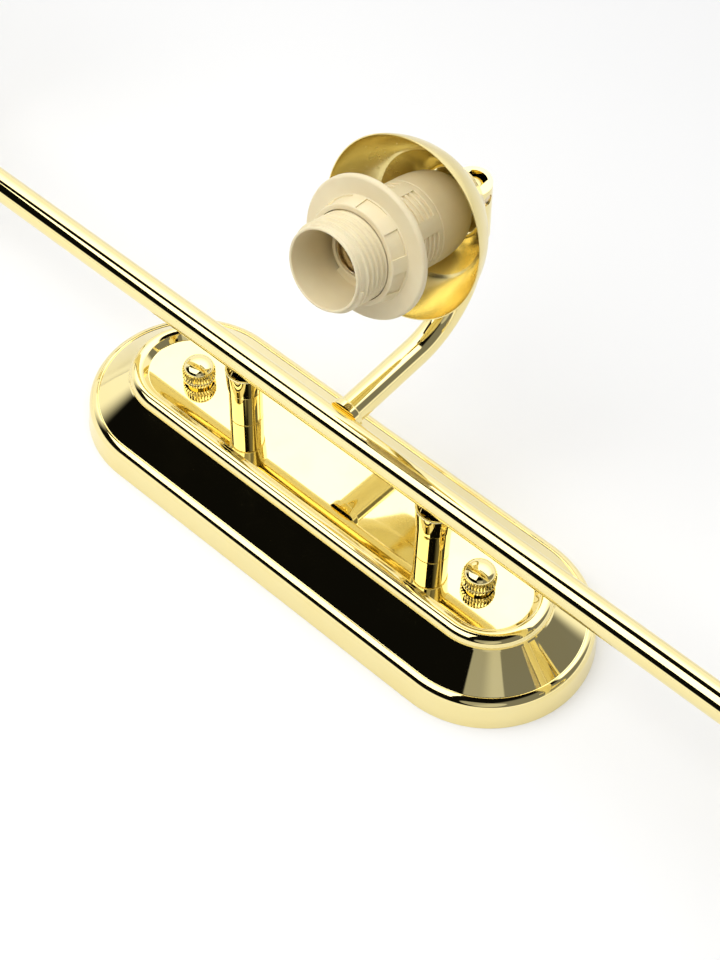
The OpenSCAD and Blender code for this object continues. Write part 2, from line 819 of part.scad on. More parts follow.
module cup_washer(side) {
    color(gold) hung() head(side)
        ring(recess_floor_d / 2 - cup_washer_gap, stem_d / 2 + push_gap, cup_floor, washer_top);
}

module stem_nut(side) {
    color(steel) hung() head(side)
        translate([0, 0, washer_top]) difference() {
            hex(stem_nut_flats, stem_nut_height);
            translate([0, 0, -over]) cylinder(d = stem_d + 2 * push_gap, h = stem_nut_height + 2 * over);
        }
}

// Domed rear half of the lampholder, tapped for the stem
module rear_cap(side) {
    nose_r = rear_cap_nose_d / 2;
    wide_r = holder_d / 2;
    low = stem_nut_top;
    dome = [for (i = [0 : arc_steps]) [
        nose_r + (wide_r - nose_r) * sin(90 * i / arc_steps),
        low + (sleeve_start - rear_cap_band - low) * (1 - cos(90 * i / arc_steps))
    ]];
    color(cream) hung() head(side) difference() {
        rotate_extrude() polygon(concat([[0, low]], dome, [[wide_r, sleeve_start], [0, sleeve_start]]));
        translate([0, 0, low - over])
            cylinder(d = stem_d + 2 * push_gap, h = sleeve_start - low + 2 * over);
        translate([0, 0, low + rear_cap_floor])
            cylinder(r1 = nose_r - rear_cap_wall / 2, r2 = wide_r - rear_cap_wall, h = sleeve_start - low);
    }
}

// Front half of the lampholder: ribbed windows, threaded length and plain mouth, open from end to end
module sleeve(side) {
    wide_r = holder_d / 2;
    low_r = wide_r - window_depth;
    window_low = sleeve_start + window_start;
    gap = (window_length - rib_count * rib_thick) / (rib_count + 1);
    ribs = [for (i = [0 : rib_count - 1])
        let (z = window_low + gap + i * (rib_thick + gap))
        each [[low_r, z], [wide_r, z], [wide_r, z + rib_thick], [low_r, z + rib_thick]]
    ];
    lip_r = mouth_d / 2;
    color(cream) hung() head(side) difference() {
        union() {
            rotate_extrude() polygon(concat(
                [[0, sleeve_start], [wide_r, sleeve_start], [wide_r, window_low], [low_r, window_low]],
                ribs,
                [[low_r, window_low + window_length], [wide_r, window_low + window_length]],
                [[wide_r, mouth_reach - lip_length - (wide_r - lip_r)], [lip_r, mouth_reach - lip_length]],
                [[lip_r, mouth_reach], [0, mouth_reach]]
            ));
            for (i = [0 : window_count - 1])
                rotate([0, 0, window_turn + 180 / window_count - window_bar / 2 + i * 360 / window_count])
                    rotate_extrude(angle = window_bar)
                        translate([low_r - window_depth, window_low - window_start / 2])
                            square([2 * window_depth, window_length + window_start]);
        }
        translate([0, 0, sleeve_start - over])
            cylinder(d = mouth_bore_d, h = sleeve_length + 2 * over);
    }
}

// Insulating carrier that holds the screw shell and the contacts inside the sleeve
module contact_carrier(side) {
    color(cream) hung() head(side) difference() {
        translate([0, 0, shell_start - carrier_floor])
            cylinder(d = mouth_bore_d - 2 * push_gap, h = mouth_floor - shell_start + carrier_floor);
        translate([0, 0, shell_start]) cylinder(r = shell_r + push_gap, h = shell_length + over);
        translate([0, 0, shell_start - contact_rise])
            cylinder(d = contact_d + 2 * push_gap, h = contact_rise + over);
    }
}

module screw_shell(side) {
    color(brass) hung() head(side)
        ring(shell_r, shell_bore_d / 2, shell_start, mouth_floor);
}

module centre_contact(side) {
    color(brass) hung() head(side)
        translate([0, 0, shell_start - contact_rise]) {
            cylinder(d = contact_d, h = contact_foot);
            cylinder(d = contact_tip_d, h = contact_rise);
        }
}

// Shade ring: a flange with a notched collar that turns on the sleeve's thread
module shade_ring(side) {
    flange_r = ring_d / 2;
    foot_r = ring_collar_d / 2;
    collar_low = ring_front - ring_collar_height;
    flange_low = collar_low - ring_thick;
    color(cream) hung() head(side) difference() {
        rotate_extrude() polygon([
            [ring_bore_r, flange_low], [flange_r - ring_edge, flange_low], [flange_r, flange_low + ring_edge],
            [flange_r, collar_low - ring_bevel], [flange_r - ring_bevel, collar_low], [foot_r, collar_low],
            [foot_r - ring_collar_draw, ring_front], [ring_bore_r, ring_front]
        ]);
        for (i = [0 : notch_count - 1])
            rotate([0, 0, i * 360 / notch_count])
                translate([foot_r - ring_collar_draw - notch_depth, -notch_width / 2, collar_low + ring_edge])
                    cube([foot_r, notch_width, ring_collar_height]);
    }
}

backplate();
wall_bracket();
bracket_studs();
stud_lock_nuts();
cap_nut(-1);  // cap_nut_left
cap_nut(1);  // cap_nut_right
terminal_block();
terminal_screws();
earth_screw();
earth_washer();
post(-1);  // post_left
post(1);  // post_right
post_washers();
post_nuts();
saddle(-1);  // saddle_left
saddle(1);  // saddle_right
bar();
end_cap(-1);  // end_cap_left
end_cap(1);  // end_cap_right
arm_collars();
for (side = [0 : len(sides) - 1]) {
    arm(side);
    knuckle(side);
    pivot_pin(side);
    tongue(side);
    cup(side);
    cup_washer(side);
    stem_nut(side);
    rear_cap(side);
    sleeve(side);
    contact_carrier(side);
    screw_shell(side);
    centre_contact(side);
    shade_ring(side);
}
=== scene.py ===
import bmesh
import bpy
import json
import math
from mathutils import Matrix, Vector


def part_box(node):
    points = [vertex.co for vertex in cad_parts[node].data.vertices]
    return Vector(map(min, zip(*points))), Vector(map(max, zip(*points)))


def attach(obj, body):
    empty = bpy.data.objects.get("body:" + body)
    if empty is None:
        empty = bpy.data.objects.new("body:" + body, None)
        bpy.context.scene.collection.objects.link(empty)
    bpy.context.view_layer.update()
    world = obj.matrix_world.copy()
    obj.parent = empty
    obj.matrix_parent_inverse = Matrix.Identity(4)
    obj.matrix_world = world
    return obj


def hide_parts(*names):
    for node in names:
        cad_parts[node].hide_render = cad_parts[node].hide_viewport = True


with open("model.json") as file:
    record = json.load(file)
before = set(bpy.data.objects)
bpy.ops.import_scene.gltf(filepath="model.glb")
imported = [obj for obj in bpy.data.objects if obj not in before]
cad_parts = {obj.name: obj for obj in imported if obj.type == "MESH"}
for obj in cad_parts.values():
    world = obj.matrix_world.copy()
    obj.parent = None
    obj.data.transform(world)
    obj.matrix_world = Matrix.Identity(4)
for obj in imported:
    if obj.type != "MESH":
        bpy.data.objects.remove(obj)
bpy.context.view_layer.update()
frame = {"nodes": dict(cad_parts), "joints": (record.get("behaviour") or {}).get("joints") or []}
nodes = frame["nodes"]
joints = {joint["name"]: joint for joint in frame["joints"]}
sides = ["left", "centre", "right"]
mm = 0.001
turn = 2 * math.pi
weldGap = 0.002 * mm
cutReach = 4  # length of a cutting rod, in radii of what it cuts
print("frame loaded: %d nodes, %d joints" % (len(nodes), len(joints)))


# camera at the photograph's viewing angle
camera = {
    "place": Vector((0.2330, -0.4934, -0.2646)),
    "aim": Vector((-0.0033, 0, 0.0172)),
    "roll": math.radians(48.5),
    "lens": 68.9,
    "sensor": 36,
    "nearest": 0.01,
}


def setCamera():
    bpy.ops.object.camera_add(location=camera["place"])
    view = bpy.context.object
    facing = (camera["aim"] - camera["place"]).to_track_quat("-Z", "Y").to_matrix()
    view.rotation_euler = (facing @ Matrix.Rotation(camera["roll"], 3, "Z")).to_euler()
    view.data.lens = camera["lens"]
    view.data.sensor_width = camera["sensor"]
    view.data.clip_start = camera["nearest"]
    bpy.context.scene.camera = view
    bpy.context.scene.view_settings.view_transform = "Standard"


setCamera()
print("camera set")


# shader maths: a wrapped socket that adds a Math node when it is reckoned with
class Shade:
    def __init__(self, tree, socket=None):
        self.tree = tree
        self.socket = socket

    def node(self, kind, output=0, settings=None, inputs=None):
        made = self.tree.nodes.new("ShaderNode" + kind)
        for key, value in (settings or {}).items():
            setattr(made, key, value)
        for key, value in (inputs or {}).items():
            if isinstance(value, Shade):
                self.tree.links.new(value.socket, made.inputs[key])
            else:
                made.inputs[key].default_value = value
        return Shade(self.tree, made.outputs[output] if made.outputs else None)

    def math(self, operation, first, second):
        return self.node("Math", settings={"operation": operation}, inputs={0: first, 1: second})

    def __add__(self, other):
        return self.math("ADD", self, other)

    def __sub__(self, other):
        return self.math("SUBTRACT", self, other)

    def __rsub__(self, other):
        return self.math("SUBTRACT", other, self)

    def __mul__(self, other):
        return self.math("MULTIPLY", self, other)

    __radd__ = __add__
    __rmul__ = __mul__

    def between(self, low, high):
        return self.node("MapRange", settings={"interpolation_type": "SMOOTHSTEP"},
                         inputs={"Value": self, "From Min": low, "From Max": high})

    def dot(self, direction):
        return self.node("VectorMath", "Value", {"operation": "DOT_PRODUCT"},
                         {0: self, 1: direction})

    def mix(self, factor, first, second):
        return self.node("Mix", 2, {"data_type": "RGBA"}, {0: factor, 6: first, 7: second})


def startMaterial(name):
    material = bpy.data.materials.new(name)
    material.use_nodes = True
    material.node_tree.nodes.clear()
    return material, Shade(material.node_tree)


# one finish that all the metals share: faint haze, polishing lines and a little unevenness
metalNoise = {
    "hazeDetail": 4.0, "lineDetail": 2.0, "waveDetail": 1.0,
    "tint": (0.35, 0.7), "dull": (0.4, 0.75), "scratch": (0.62, 0.72),
}


def metalFinish(name, look):
    material, make = startMaterial(name)
    place = make.node("TexCoord", "Object")

    def noise(kind):
        return make.node("TexNoise", inputs={"Vector": place, "Scale": look[kind + "Scale"],
                                             "Detail": metalNoise[kind + "Detail"]})
    haze = noise("haze")
    lines = noise("line")
    rise = noise("wave")
    colour = make.mix(haze.between(*metalNoise["tint"]), look["colour"], look["deepColour"])
    rough = (look["rough"] + look["roughSpread"] * haze.between(*metalNoise["dull"])
             + look["lineRough"] * lines.between(*metalNoise["scratch"]))
    bump = make.node("Bump", inputs={"Strength": look["bump"], "Distance": look["bumpDepth"],
                                     "Height": rise + look["lineRise"] * lines})
    metal = make.node("BsdfPrincipled", inputs={"Base Color": colour, "Metallic": 1.0,
                                                "Roughness": rough, "Normal": bump})
    make.node("OutputMaterial", inputs={"Surface": metal})
    return material


polishedGold = metalFinish("polishedGold", {
    "colour": (0.885, 0.765, 0.385, 1), "deepColour": (0.885, 0.755, 0.36, 1),
    "hazeScale": 60.0, "lineScale": 900.0, "waveScale": 45.0,
    "rough": 0.025, "roughSpread": 0.03, "lineRough": 0.02, "lineRise": 0.02,
    "bump": 0.05, "bumpDepth": 0.4 * mm,
})
spunGold = metalFinish("spunGold", {
    "colour": (0.85, 0.72, 0.33, 1), "deepColour": (0.82, 0.68, 0.28, 1),
    "hazeScale": 90.0, "lineScale": 700.0, "waveScale": 70.0,
    "rough": 0.2, "roughSpread": 0.08, "lineRough": 0.05, "lineRise": 0.1,
    "bump": 0.08, "bumpDepth": 0.3 * mm,
})
zincSteel = metalFinish("zincSteel", {
    "colour": (0.62, 0.64, 0.67, 1), "deepColour": (0.52, 0.53, 0.54, 1),
    "hazeScale": 140.0, "lineScale": 900.0, "waveScale": 160.0,
    "rough": 0.28, "roughSpread": 0.15, "lineRough": 0.1, "lineRise": 0.2,
    "bump": 0.2, "bumpDepth": 0.2 * mm,
})
contactBrass = metalFinish("contactBrass", {
    "colour": (0.78, 0.66, 0.44, 1), "deepColour": (0.66, 0.52, 0.30, 1),
    "hazeScale": 200.0, "lineScale": 1500.0, "waveScale": 200.0,
    "rough": 0.25, "roughSpread": 0.15, "lineRough": 0.08, "lineRise": 0.2,
    "bump": 0.15, "bumpDepth": 0.2 * mm,
})


# moulded plastic: soft mottling, fine grain and a slight bloom
moulding = {
    "mottleDetail": 3.0, "grainDetail": 2.0, "tint": (0.3, 0.7), "dull": (0.3, 0.75),
    "refraction": 1.5, "glowScale": 1 * mm,
}


def plasticFinish(name, look):
    material, make = startMaterial(name)
    place = make.node("TexCoord", "Object")
    mottle = make.node("TexNoise", inputs={"Vector": place, "Scale": look["mottleScale"],
                                           "Detail": moulding["mottleDetail"]})
    grain = make.node("TexNoise", inputs={"Vector": place, "Scale": look["grainScale"],
                                          "Detail": moulding["grainDetail"]})
    colour = make.mix(mottle.between(*moulding["tint"]), look["colour"], look["deepColour"])
    rough = look["rough"] + look["roughSpread"] * mottle.between(*moulding["dull"])
    bump = make.node("Bump", inputs={"Strength": look["bump"], "Distance": look["bumpDepth"],
                                     "Height": grain})
    plastic = make.node("BsdfPrincipled", inputs={
        "Base Color": colour, "Roughness": rough, "Normal": bump, "IOR": moulding["refraction"],
        "Subsurface Weight": look["glow"], "Subsurface Radius": look["glowReach"],
        "Subsurface Scale": moulding["glowScale"],
    })
    make.node("OutputMaterial", inputs={"Surface": plastic})
    return material


creamPlastic = plasticFinish("creamPlastic", {
    "colour": (0.86, 0.755, 0.50, 1), "deepColour": (0.83, 0.715, 0.46, 1),
    "mottleScale": 120.0, "grainScale": 2200.0, "rough": 0.34, "roughSpread": 0.12,
    "bump": 0.08, "bumpDepth": 0.05 * mm, "glow": 0.15, "glowReach": (1.0, 0.7, 0.4),
})
whitePlastic = plasticFinish("whitePlastic", {
    "colour": (0.86, 0.86, 0.84, 1), "deepColour": (0.80, 0.80, 0.77, 1),
    "mottleScale": 90.0, "grainScale": 1800.0, "rough": 0.42, "roughSpread": 0.15,
    "bump": 0.1, "bumpDepth": 0.05 * mm, "glow": 0.1, "glowReach": (1.0, 1.0, 0.9),
})
print("materials made")


# modelling helpers for the piece in hand
def deselectAll():
    if bpy.context.object and bpy.context.object.mode == "EDIT":
        bpy.ops.object.mode_set(mode="OBJECT")
    bpy.ops.object.select_all(action="DESELECT")


def takeUp(piece):
    deselectAll()
    piece.select_set(True)
    bpy.context.view_layer.objects.active = piece


def extruded(by):
    bpy.ops.mesh.extrude_region_move(TRANSFORM_OT_translate={"value": by})


# one point, extruded from place to place, left in edit mode
def drawOutline(name, points):
    deselectAll()
    bpy.ops.mesh.primitive_plane_add(size=mm)
    piece = bpy.context.object
    piece.name = name
    bpy.ops.object.mode_set(mode="EDIT")
    bpy.ops.mesh.select_all(action="SELECT")
    bpy.ops.mesh.merge(type="CENTER")
    bpy.ops.transform.translate(value=points[0])
    for before, after in zip(points, points[1:]):
        extruded(Vector(after) - Vector(before))
    return piece


def weld():
    bpy.ops.mesh.select_all(action="SELECT")
    bpy.ops.mesh.remove_doubles(threshold=weldGap)
    bpy.ops.mesh.normals_make_consistent(inside=False)


# an outline of (across, along) points spun about Z; less than a full turn gets its ends closed
def turned(name, outline, steps=96, angle=turn):
    piece = drawOutline(name, [(across, 0, along) for across, along in outline])
    bpy.ops.mesh.select_all(action="SELECT")
    bpy.ops.mesh.spin(steps=steps, angle=-angle, center=(0, 0, 0), axis=(0, 0, 1))
    weld()
    if angle < turn:
        bpy.ops.mesh.fill_holes(sides=0)
        bpy.ops.mesh.normals_make_consistent(inside=False)
    bpy.ops.object.mode_set(mode="OBJECT")
    return piece


# a flat outline across the pivot's axis, given its thickness along X
def slab(name, outline, thick):
    piece = drawOutline(name, [(-thick / 2, y, z) for y, z in outline])
    bpy.ops.mesh.select_all(action="SELECT")
    bpy.ops.mesh.remove_doubles(threshold=weldGap)
    bpy.ops.mesh.select_all(action="SELECT")
    bpy.ops.mesh.edge_face_add()
    extruded((thick, 0, 0))
    weld()
    bpy.ops.object.mode_set(mode="OBJECT")
    return piece


# in edit mode, select the vertices or faces whose place passes the test
def pick(piece, test, kind):
    bpy.ops.mesh.select_mode(type=kind)
    bpy.ops.mesh.select_all(action="DESELECT")
    mesh = bmesh.from_edit_mesh(piece.data)
    for part in (mesh.verts if kind == "VERT" else mesh.faces):
        middle = part.co if kind == "VERT" else part.calc_center_median()
        if test(middle):
            part.select_set(True)
    mesh.select_flush_mode()
    bmesh.update_edit_mesh(piece.data)


def applied(piece, kind, **settings):
    takeUp(piece)
    modifier = piece.modifiers.new(kind.title(), kind)
    for key, value in settings.items():
        setattr(modifier, key, value)
    bpy.ops.object.modifier_apply(modifier=modifier.name)


def bevelled(piece, width, segments, degrees):
    applied(piece, "BEVEL", width=width, segments=segments, limit_method="ANGLE",
            angle_limit=math.radians(degrees))


def cut(piece, cutter, operation="DIFFERENCE"):
    applied(piece, "BOOLEAN", object=cutter, operation=operation, solver="EXACT")
    bpy.data.objects.remove(cutter)


def joined(piece, *others):
    takeUp(piece)
    for other in others:
        other.select_set(True)
    bpy.ops.object.join()
    return piece


def moved(piece, matrix):
    takeUp(piece)
    piece.matrix_world = matrix
    bpy.ops.object.transform_apply(location=True, rotation=True, scale=True)
    return piece


def copied(piece, name, matrix):
    takeUp(piece)
    bpy.ops.object.duplicate()
    twin = bpy.context.object
    twin.name = name
    return moved(twin, matrix)


def discard(*patterns):
    for pattern in patterns:
        bpy.data.objects.remove(pattern)


def rod(radius, length, middle, along="X", vertices=48):
    tilt = {"X": (0, math.pi / 2, 0), "Z": (0, 0, 0)}[along]
    deselectAll()
    bpy.ops.mesh.primitive_cylinder_add(vertices=vertices, radius=radius, depth=length,
                                        location=middle, rotation=tilt)
    bpy.ops.object.transform_apply(location=True, rotation=True, scale=True)
    return bpy.context.object


# outline points with each corner (across, along, radius) rounded by an arc
def rounded(corners, steps=6):
    points = []
    for index, (across, along, radius) in enumerate(corners):
        here = Vector((across, along))
        if not radius:
            points.append(here)
            continue
        before = (Vector(corners[index - 1][:2]) - here).normalized()
        after = (Vector(corners[index + 1][:2]) - here).normalized()
        half = before.angle(after) / 2
        centre = here + (before + after).normalized() * (radius / math.sin(half))
        first = here + before * (radius / math.tan(half)) - centre
        last = here + after * (radius / math.tan(half)) - centre
        sweep = math.atan2(first.cross(last), first.dot(last))
        points += [centre + Matrix.Rotation(sweep * step / steps, 2) @ first
                   for step in range(steps + 1)]
    return [tuple(point) for point in points]


def arc(across, along, radius, start, end, steps=12):
    angles = [math.radians(start + (end - start) * step / steps) for step in range(steps + 1)]
    return [(across + radius * math.cos(angle), along + radius * math.sin(angle))
            for angle in angles]


# a closed rectangle, for slab or turned
def block(near, far, low, high):
    return [(near, low), (far, low), (far, high), (near, high), (near, low)]


def dress(piece, body, material, slot, *replaced, smooth=35):
    takeUp(piece)
    bpy.ops.object.shade_smooth_by_angle(angle=math.radians(smooth))
    applied(piece, "WEIGHTED_NORMAL", keep_sharp=True)
    piece.data.materials.clear()
    piece.data.materials.append(material)
    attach(piece, body)
    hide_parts(*replaced)


# places taken from the frame: the plate, the bar, the pivots and the lamp axis of a head
hung = Matrix.Rotation(math.pi / 2, 4, "X")
plateLow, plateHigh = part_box("backplate")
plateHalf = (plateHigh.z - plateLow.z) / 2
plateStraight = (plateHigh.x - plateLow.x) / 2 - plateHalf
barLow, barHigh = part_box("bar")
barRadius = (barHigh.z - barLow.z) / 2
barPlace = (barLow + barHigh) / 2
lampAxis = Vector(joints["shade_ring_turn_centre"]["axis"])
headTurn = math.atan2(-lampAxis.y, lampAxis.z)


def headPlace(side):
    pivot = Matrix.Translation(joints["head_tilt_" + side]["pos_m"])
    return pivot @ Matrix.Rotation(headTurn, 4, "X")


# a copy of a pattern on one of the heads; name and node have %s for the side
def fitToHead(side, pattern, name, material, slot, node, body="head_%s", smooth=35):
    piece = copied(pattern, name % side, headPlace(side))
    dress(piece, body % side, material, slot, node % side, smooth=smooth)


# backplate: its section is swept round the oval, the panel is filled, the sheet gets its
# thickness and the back edge is made flat
plate = {
    "wall": 1.2 * mm, "rimHeight": 11.4 * mm, "rimRound": 4 * mm, "rimTaper": 0.9 * mm,
    "rimSweep": 75, "groove": 0.4 * mm, "footInset": 4.2 * mm, "footRound": 0.3 * mm,
    "topInset": 15 * mm, "topHeight": 19.9 * mm, "soft": 0.5 * mm,
    "beadInset": 18.5 * mm, "beadHeight": 24 * mm, "beadRound": 3.1 * mm,
    "beadStart": -10, "beadEnd": 125, "beadSteps": 20,
    "panelInset": 21.8 * mm, "panelHeight": 21.6 * mm, "panelFlat": 1.5 * mm, "endSteps": 96,
}


def plateSection():
    rimAcross = plateHalf - plate["rimTaper"] - plate["rimRound"]
    rimAlong = plate["rimHeight"] - plate["rimRound"]
    rimStart = math.degrees(math.atan2(plate["rimTaper"], rimAlong))
    rim = arc(rimAcross, rimAlong, plate["rimRound"], rimStart, plate["rimSweep"])
    bead = arc(plateHalf - plate["beadInset"], plate["beadHeight"] - plate["beadRound"],
               plate["beadRound"], plate["beadStart"], plate["beadEnd"], plate["beadSteps"])
    panelEdge = plateHalf - plate["panelInset"]
    slope = rounded([
        (*rim[-1], 0),
        (plateHalf - plate["footInset"], plate["rimHeight"] - plate["groove"], plate["footRound"]),
        (plateHalf - plate["topInset"], plate["topHeight"], plate["soft"]),
        (*bead[0], 0),
    ])
    panel = rounded([
        (*bead[-1], 0),
        (panelEdge, plate["panelHeight"], plate["soft"]),
        (panelEdge - plate["panelFlat"], plate["panelHeight"], 0),
    ])
    return [(plateHalf, 0)] + rim + slope[1:-1] + bead + panel[1:]


def makeBackplate():
    straight = plateStraight
    section = [(straight, -across, along) for across, along in plateSection()]
    piece = drawOutline("backplate_shell", section)
    for end in (1, -1):
        pick(piece, lambda at: abs(at.x - end * straight) < weldGap and at.y * end < 0, "VERT")
        bpy.ops.mesh.spin(steps=plate["endSteps"], angle=-math.pi,
                          center=(end * straight, 0, 0), axis=(0, 0, 1))
        pick(piece, lambda at: abs(at.x - end * straight) < weldGap and at.y * end > 0, "VERT")
        extruded((-2 * end * straight, 0, 0))
    weld()
    panelReach = plateHalf - plate["panelInset"] - plate["panelFlat"]

    def onPanelEdge(at):
        beyond = max(abs(at.x) - straight, 0)
        return abs(math.hypot(beyond, at.y) - panelReach) < weldGap
    pick(piece, onPanelEdge, "VERT")
    bpy.ops.mesh.edge_face_add()
    bpy.ops.mesh.select_all(action="SELECT")
    bpy.ops.mesh.normals_make_consistent(inside=False)
    bpy.ops.object.mode_set(mode="OBJECT")
    applied(piece, "SOLIDIFY", thickness=plate["wall"], offset=-1, use_even_offset=True)
    takeUp(piece)
    bpy.ops.object.mode_set(mode="EDIT")
    pick(piece, lambda at: at.z < weldGap, "VERT")
    bpy.ops.transform.resize(value=(1, 1, 0), center_override=(0, 0, 0))
    bpy.ops.object.mode_set(mode="OBJECT")
    moved(piece, hung)
    dress(piece, "wall_frame", polishedGold, "polished_brass", "backplate")


makeBackplate()
print("backplate pressed")


# cap nuts: domed, with a fluted band that a groove divides; the flutes fade out on the dome
nut = {
    "bandRadius": 5.5 * mm, "bandHeight": 5.6 * mm, "edge": 0.35 * mm,
    "domeRadius": 5.15 * mm, "fullness": 2.15, "domeSteps": 18, "fadeSteps": 3,
    "footRadius": 4.4 * mm, "foot": 0.9 * mm, "height": 8.6 * mm,
    "groove": 2.7 * mm, "grooveHalf": 0.25 * mm, "grooveDepth": 0.6 * mm,
    "bore": 2.6 * mm, "boreTop": 6.5 * mm,
    "flutes": 34, "fluteDepth": 0.5 * mm, "fluteColumns": 4,
    "fluteShape": (((1, 3), 0.5), ((2,), 1)),  # columns of a flute, and their share of its depth
    "smooth": 50,
}


def nutDome():
    power = 2 / nut["fullness"]
    rise = nut["height"] - nut["bandHeight"]
    dome = []
    for step in range(nut["domeSteps"]):
        angle = math.pi / 2 * step / nut["domeSteps"]
        dome.append((nut["domeRadius"] * math.cos(angle) ** power,
                     nut["bandHeight"] + rise * math.sin(angle) ** power))
    return dome


def makeCapNuts():
    dome = nutDome()
    band = nut["bandRadius"]
    outline = [
        (0, nut["boreTop"]), (nut["bore"], nut["boreTop"]), (nut["bore"], 0),
        (nut["footRadius"], 0), (nut["footRadius"], nut["foot"]), (band - nut["edge"], nut["foot"]),
        (band, nut["foot"] + nut["edge"]), (band, nut["groove"] - nut["grooveHalf"]),
        (band - nut["grooveDepth"], nut["groove"]), (band, nut["groove"] + nut["grooveHalf"]),
        (band, nut["bandHeight"] - nut["edge"]),
    ] + dome + [(0, nut["height"])]
    around = nut["fluteColumns"] * nut["flutes"]
    pattern = turned("nut_pattern", outline, steps=around)
    takeUp(pattern)
    bpy.ops.object.mode_set(mode="EDIT")
    rows = [(radius, height, 1) for radius, height in outline if radius > band - weldGap]
    fade = nut["fadeSteps"]
    rows += [dome[step] + (1 - (step + 1) / (fade + 1),) for step in range(fade)]
    for radius, height, share in rows:
        for columns, part in nut["fluteShape"]:
            def inFlute(at):
                column = round(math.atan2(at.y, at.x) / turn * around) % nut["fluteColumns"]
                onRow = abs(at.z - height) < weldGap and math.hypot(at.x, at.y) > radius - weldGap
                return onRow and column in columns
            pick(pattern, inFlute, "VERT")
            small = 1 - part * share * nut["fluteDepth"] / radius
            bpy.ops.transform.resize(value=(small, small, 1), center_override=(0, 0, 0))
    bpy.ops.object.mode_set(mode="OBJECT")
    for side in ("left", "right"):
        low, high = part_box("cap_nut_" + side)
        foot = Vector(((low.x + high.x) / 2, high.y, (low.z + high.z) / 2))
        piece = copied(pattern, "cap_nut_%s_domed" % side, Matrix.Translation(foot) @ hung)
        dress(piece, "nut_" + side, polishedGold, "polished_brass", "cap_nut_" + side,
              smooth=nut["smooth"])
    discard(pattern)


makeCapNuts()
print("cap nuts fluted")


# posts and their saddles, which are hollow and dished for the bar
post = {
    "radius": 5.55 * mm, "height": 14 * mm, "threadRadius": 4 * mm, "threadLength": 7.2 * mm,
    "bore": 2 * mm, "edge": 0.3 * mm, "saddleFoot": 5.85 * mm, "saddleTop": 6.4 * mm,
    "saddleHeight": 22.9 * mm, "saddleWall": 0.9 * mm, "hollow": 5 * mm,
    "standAbovePanel": 26.7 * mm, "barGap": 0.03 * mm, "dishSides": 96,
    "bevel": 0.12 * mm, "bevelSteps": 2, "bevelAngle": 50,
}


def makePosts():
    thread = post["threadRadius"]
    threadEnd = -post["threadLength"]
    column = turned("post_pattern", rounded([
        (post["bore"], threadEnd, 0), (thread, threadEnd, post["edge"]), (thread, 0, 0),
        (post["radius"], 0, post["edge"]), (post["radius"], post["height"], post["edge"]),
        (post["bore"], post["height"], 0), (post["bore"], threadEnd, 0),
    ]))
    hollowFloor = post["saddleHeight"] - post["hollow"]
    saddle = turned("saddle_pattern", rounded([
        (post["bore"], post["height"], 0), (post["saddleFoot"], post["height"], post["edge"]),
        (post["saddleTop"], post["saddleHeight"], post["edge"]),
        (post["saddleTop"] - post["saddleWall"], post["saddleHeight"], post["edge"]),
        (post["saddleFoot"] - post["saddleWall"], hollowFloor, 2 * post["edge"]),
        (post["bore"], hollowFloor, 0), (post["bore"], post["height"], 0),
    ]))
    cut(saddle, rod(barRadius + post["barGap"], cutReach * post["radius"],
                    (0, 0, post["standAbovePanel"]), vertices=post["dishSides"]))
    bevelled(saddle, post["bevel"], post["bevelSteps"], post["bevelAngle"])
    panelY = -plate["panelHeight"]
    for side in ("left", "right"):
        low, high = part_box("post_" + side)
        stand = ((low.x + high.x) / 2, panelY, (low.z + high.z) / 2)
        place = Matrix.Translation(stand) @ hung
        piece = copied(column, "post_%s_turned" % side, place)
        dress(piece, "wall_frame", polishedGold, "polished_brass", "post_" + side)
        piece = copied(saddle, "saddle_%s_dished" % side, place)
        dress(piece, "wall_frame", polishedGold, "polished_brass", "saddle_" + side)
    discard(column, saddle)


makePosts()
print("posts turned")


# bar with its rounded end caps
tube = {
    "wall": 1 * mm, "edge": 0.15 * mm, "steps": 128, "capRadius": 5.7 * mm,
    "capRound": 3.6 * mm, "capFoot": 0.3 * mm, "capSteps": 10, "spigot": 5 * mm,
}


def makeBar():
    half = (barHigh.x - barLow.x) / 2
    inside = barRadius - tube["wall"]
    along = Matrix.Translation(barPlace) @ Matrix.Rotation(math.pi / 2, 4, "Y")
    piece = turned("bar_tube", rounded([
        (inside, -half, 0), (barRadius, -half, tube["edge"]), (barRadius, half, tube["edge"]),
        (inside, half, 0), (inside, -half, 0),
    ]), steps=tube["steps"])
    moved(piece, along)
    dress(piece, "wall_frame", polishedGold, "polished_brass", "bar")
    for side, sign in (("left", -1), ("right", 1)):
        low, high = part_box("end_cap_" + side)
        length = high.x - low.x - tube["spigot"]
        cap = turned("end_cap_%s_round" % side, rounded([
            (0, -tube["spigot"], 0), (inside, -tube["spigot"], tube["capFoot"]), (inside, 0, 0),
            (tube["capRadius"], 0, tube["capFoot"]),
            (tube["capRadius"], length, tube["capRound"]), (0, length, 0),
        ], tube["capSteps"]))
        face = Matrix.Rotation(sign * math.pi / 2, 4, "Y")
        moved(cap, Matrix.Translation((sign * half, barPlace.y, barPlace.z)) @ face)
        dress(cap, "wall_frame", polishedGold, "polished_brass", "end_cap_" + side)


makeBar()
print("bar and end caps done")


# arms: bent tube, with a brazed collar at the bar
arm = {
    "radius": 4.75 * mm, "reach": 63.5 * mm, "bend": 26 * mm, "endRun": 7.9 * mm,
    "pivotHeight": 19.5 * mm, "tilt": math.radians(3.5), "root": 4.3 * mm,
    "sides": 64, "bendSteps": 40,
    "collarRadius": 5.7 * mm, "collarEnd": 7 * mm, "collarRound": 0.8 * mm,
}


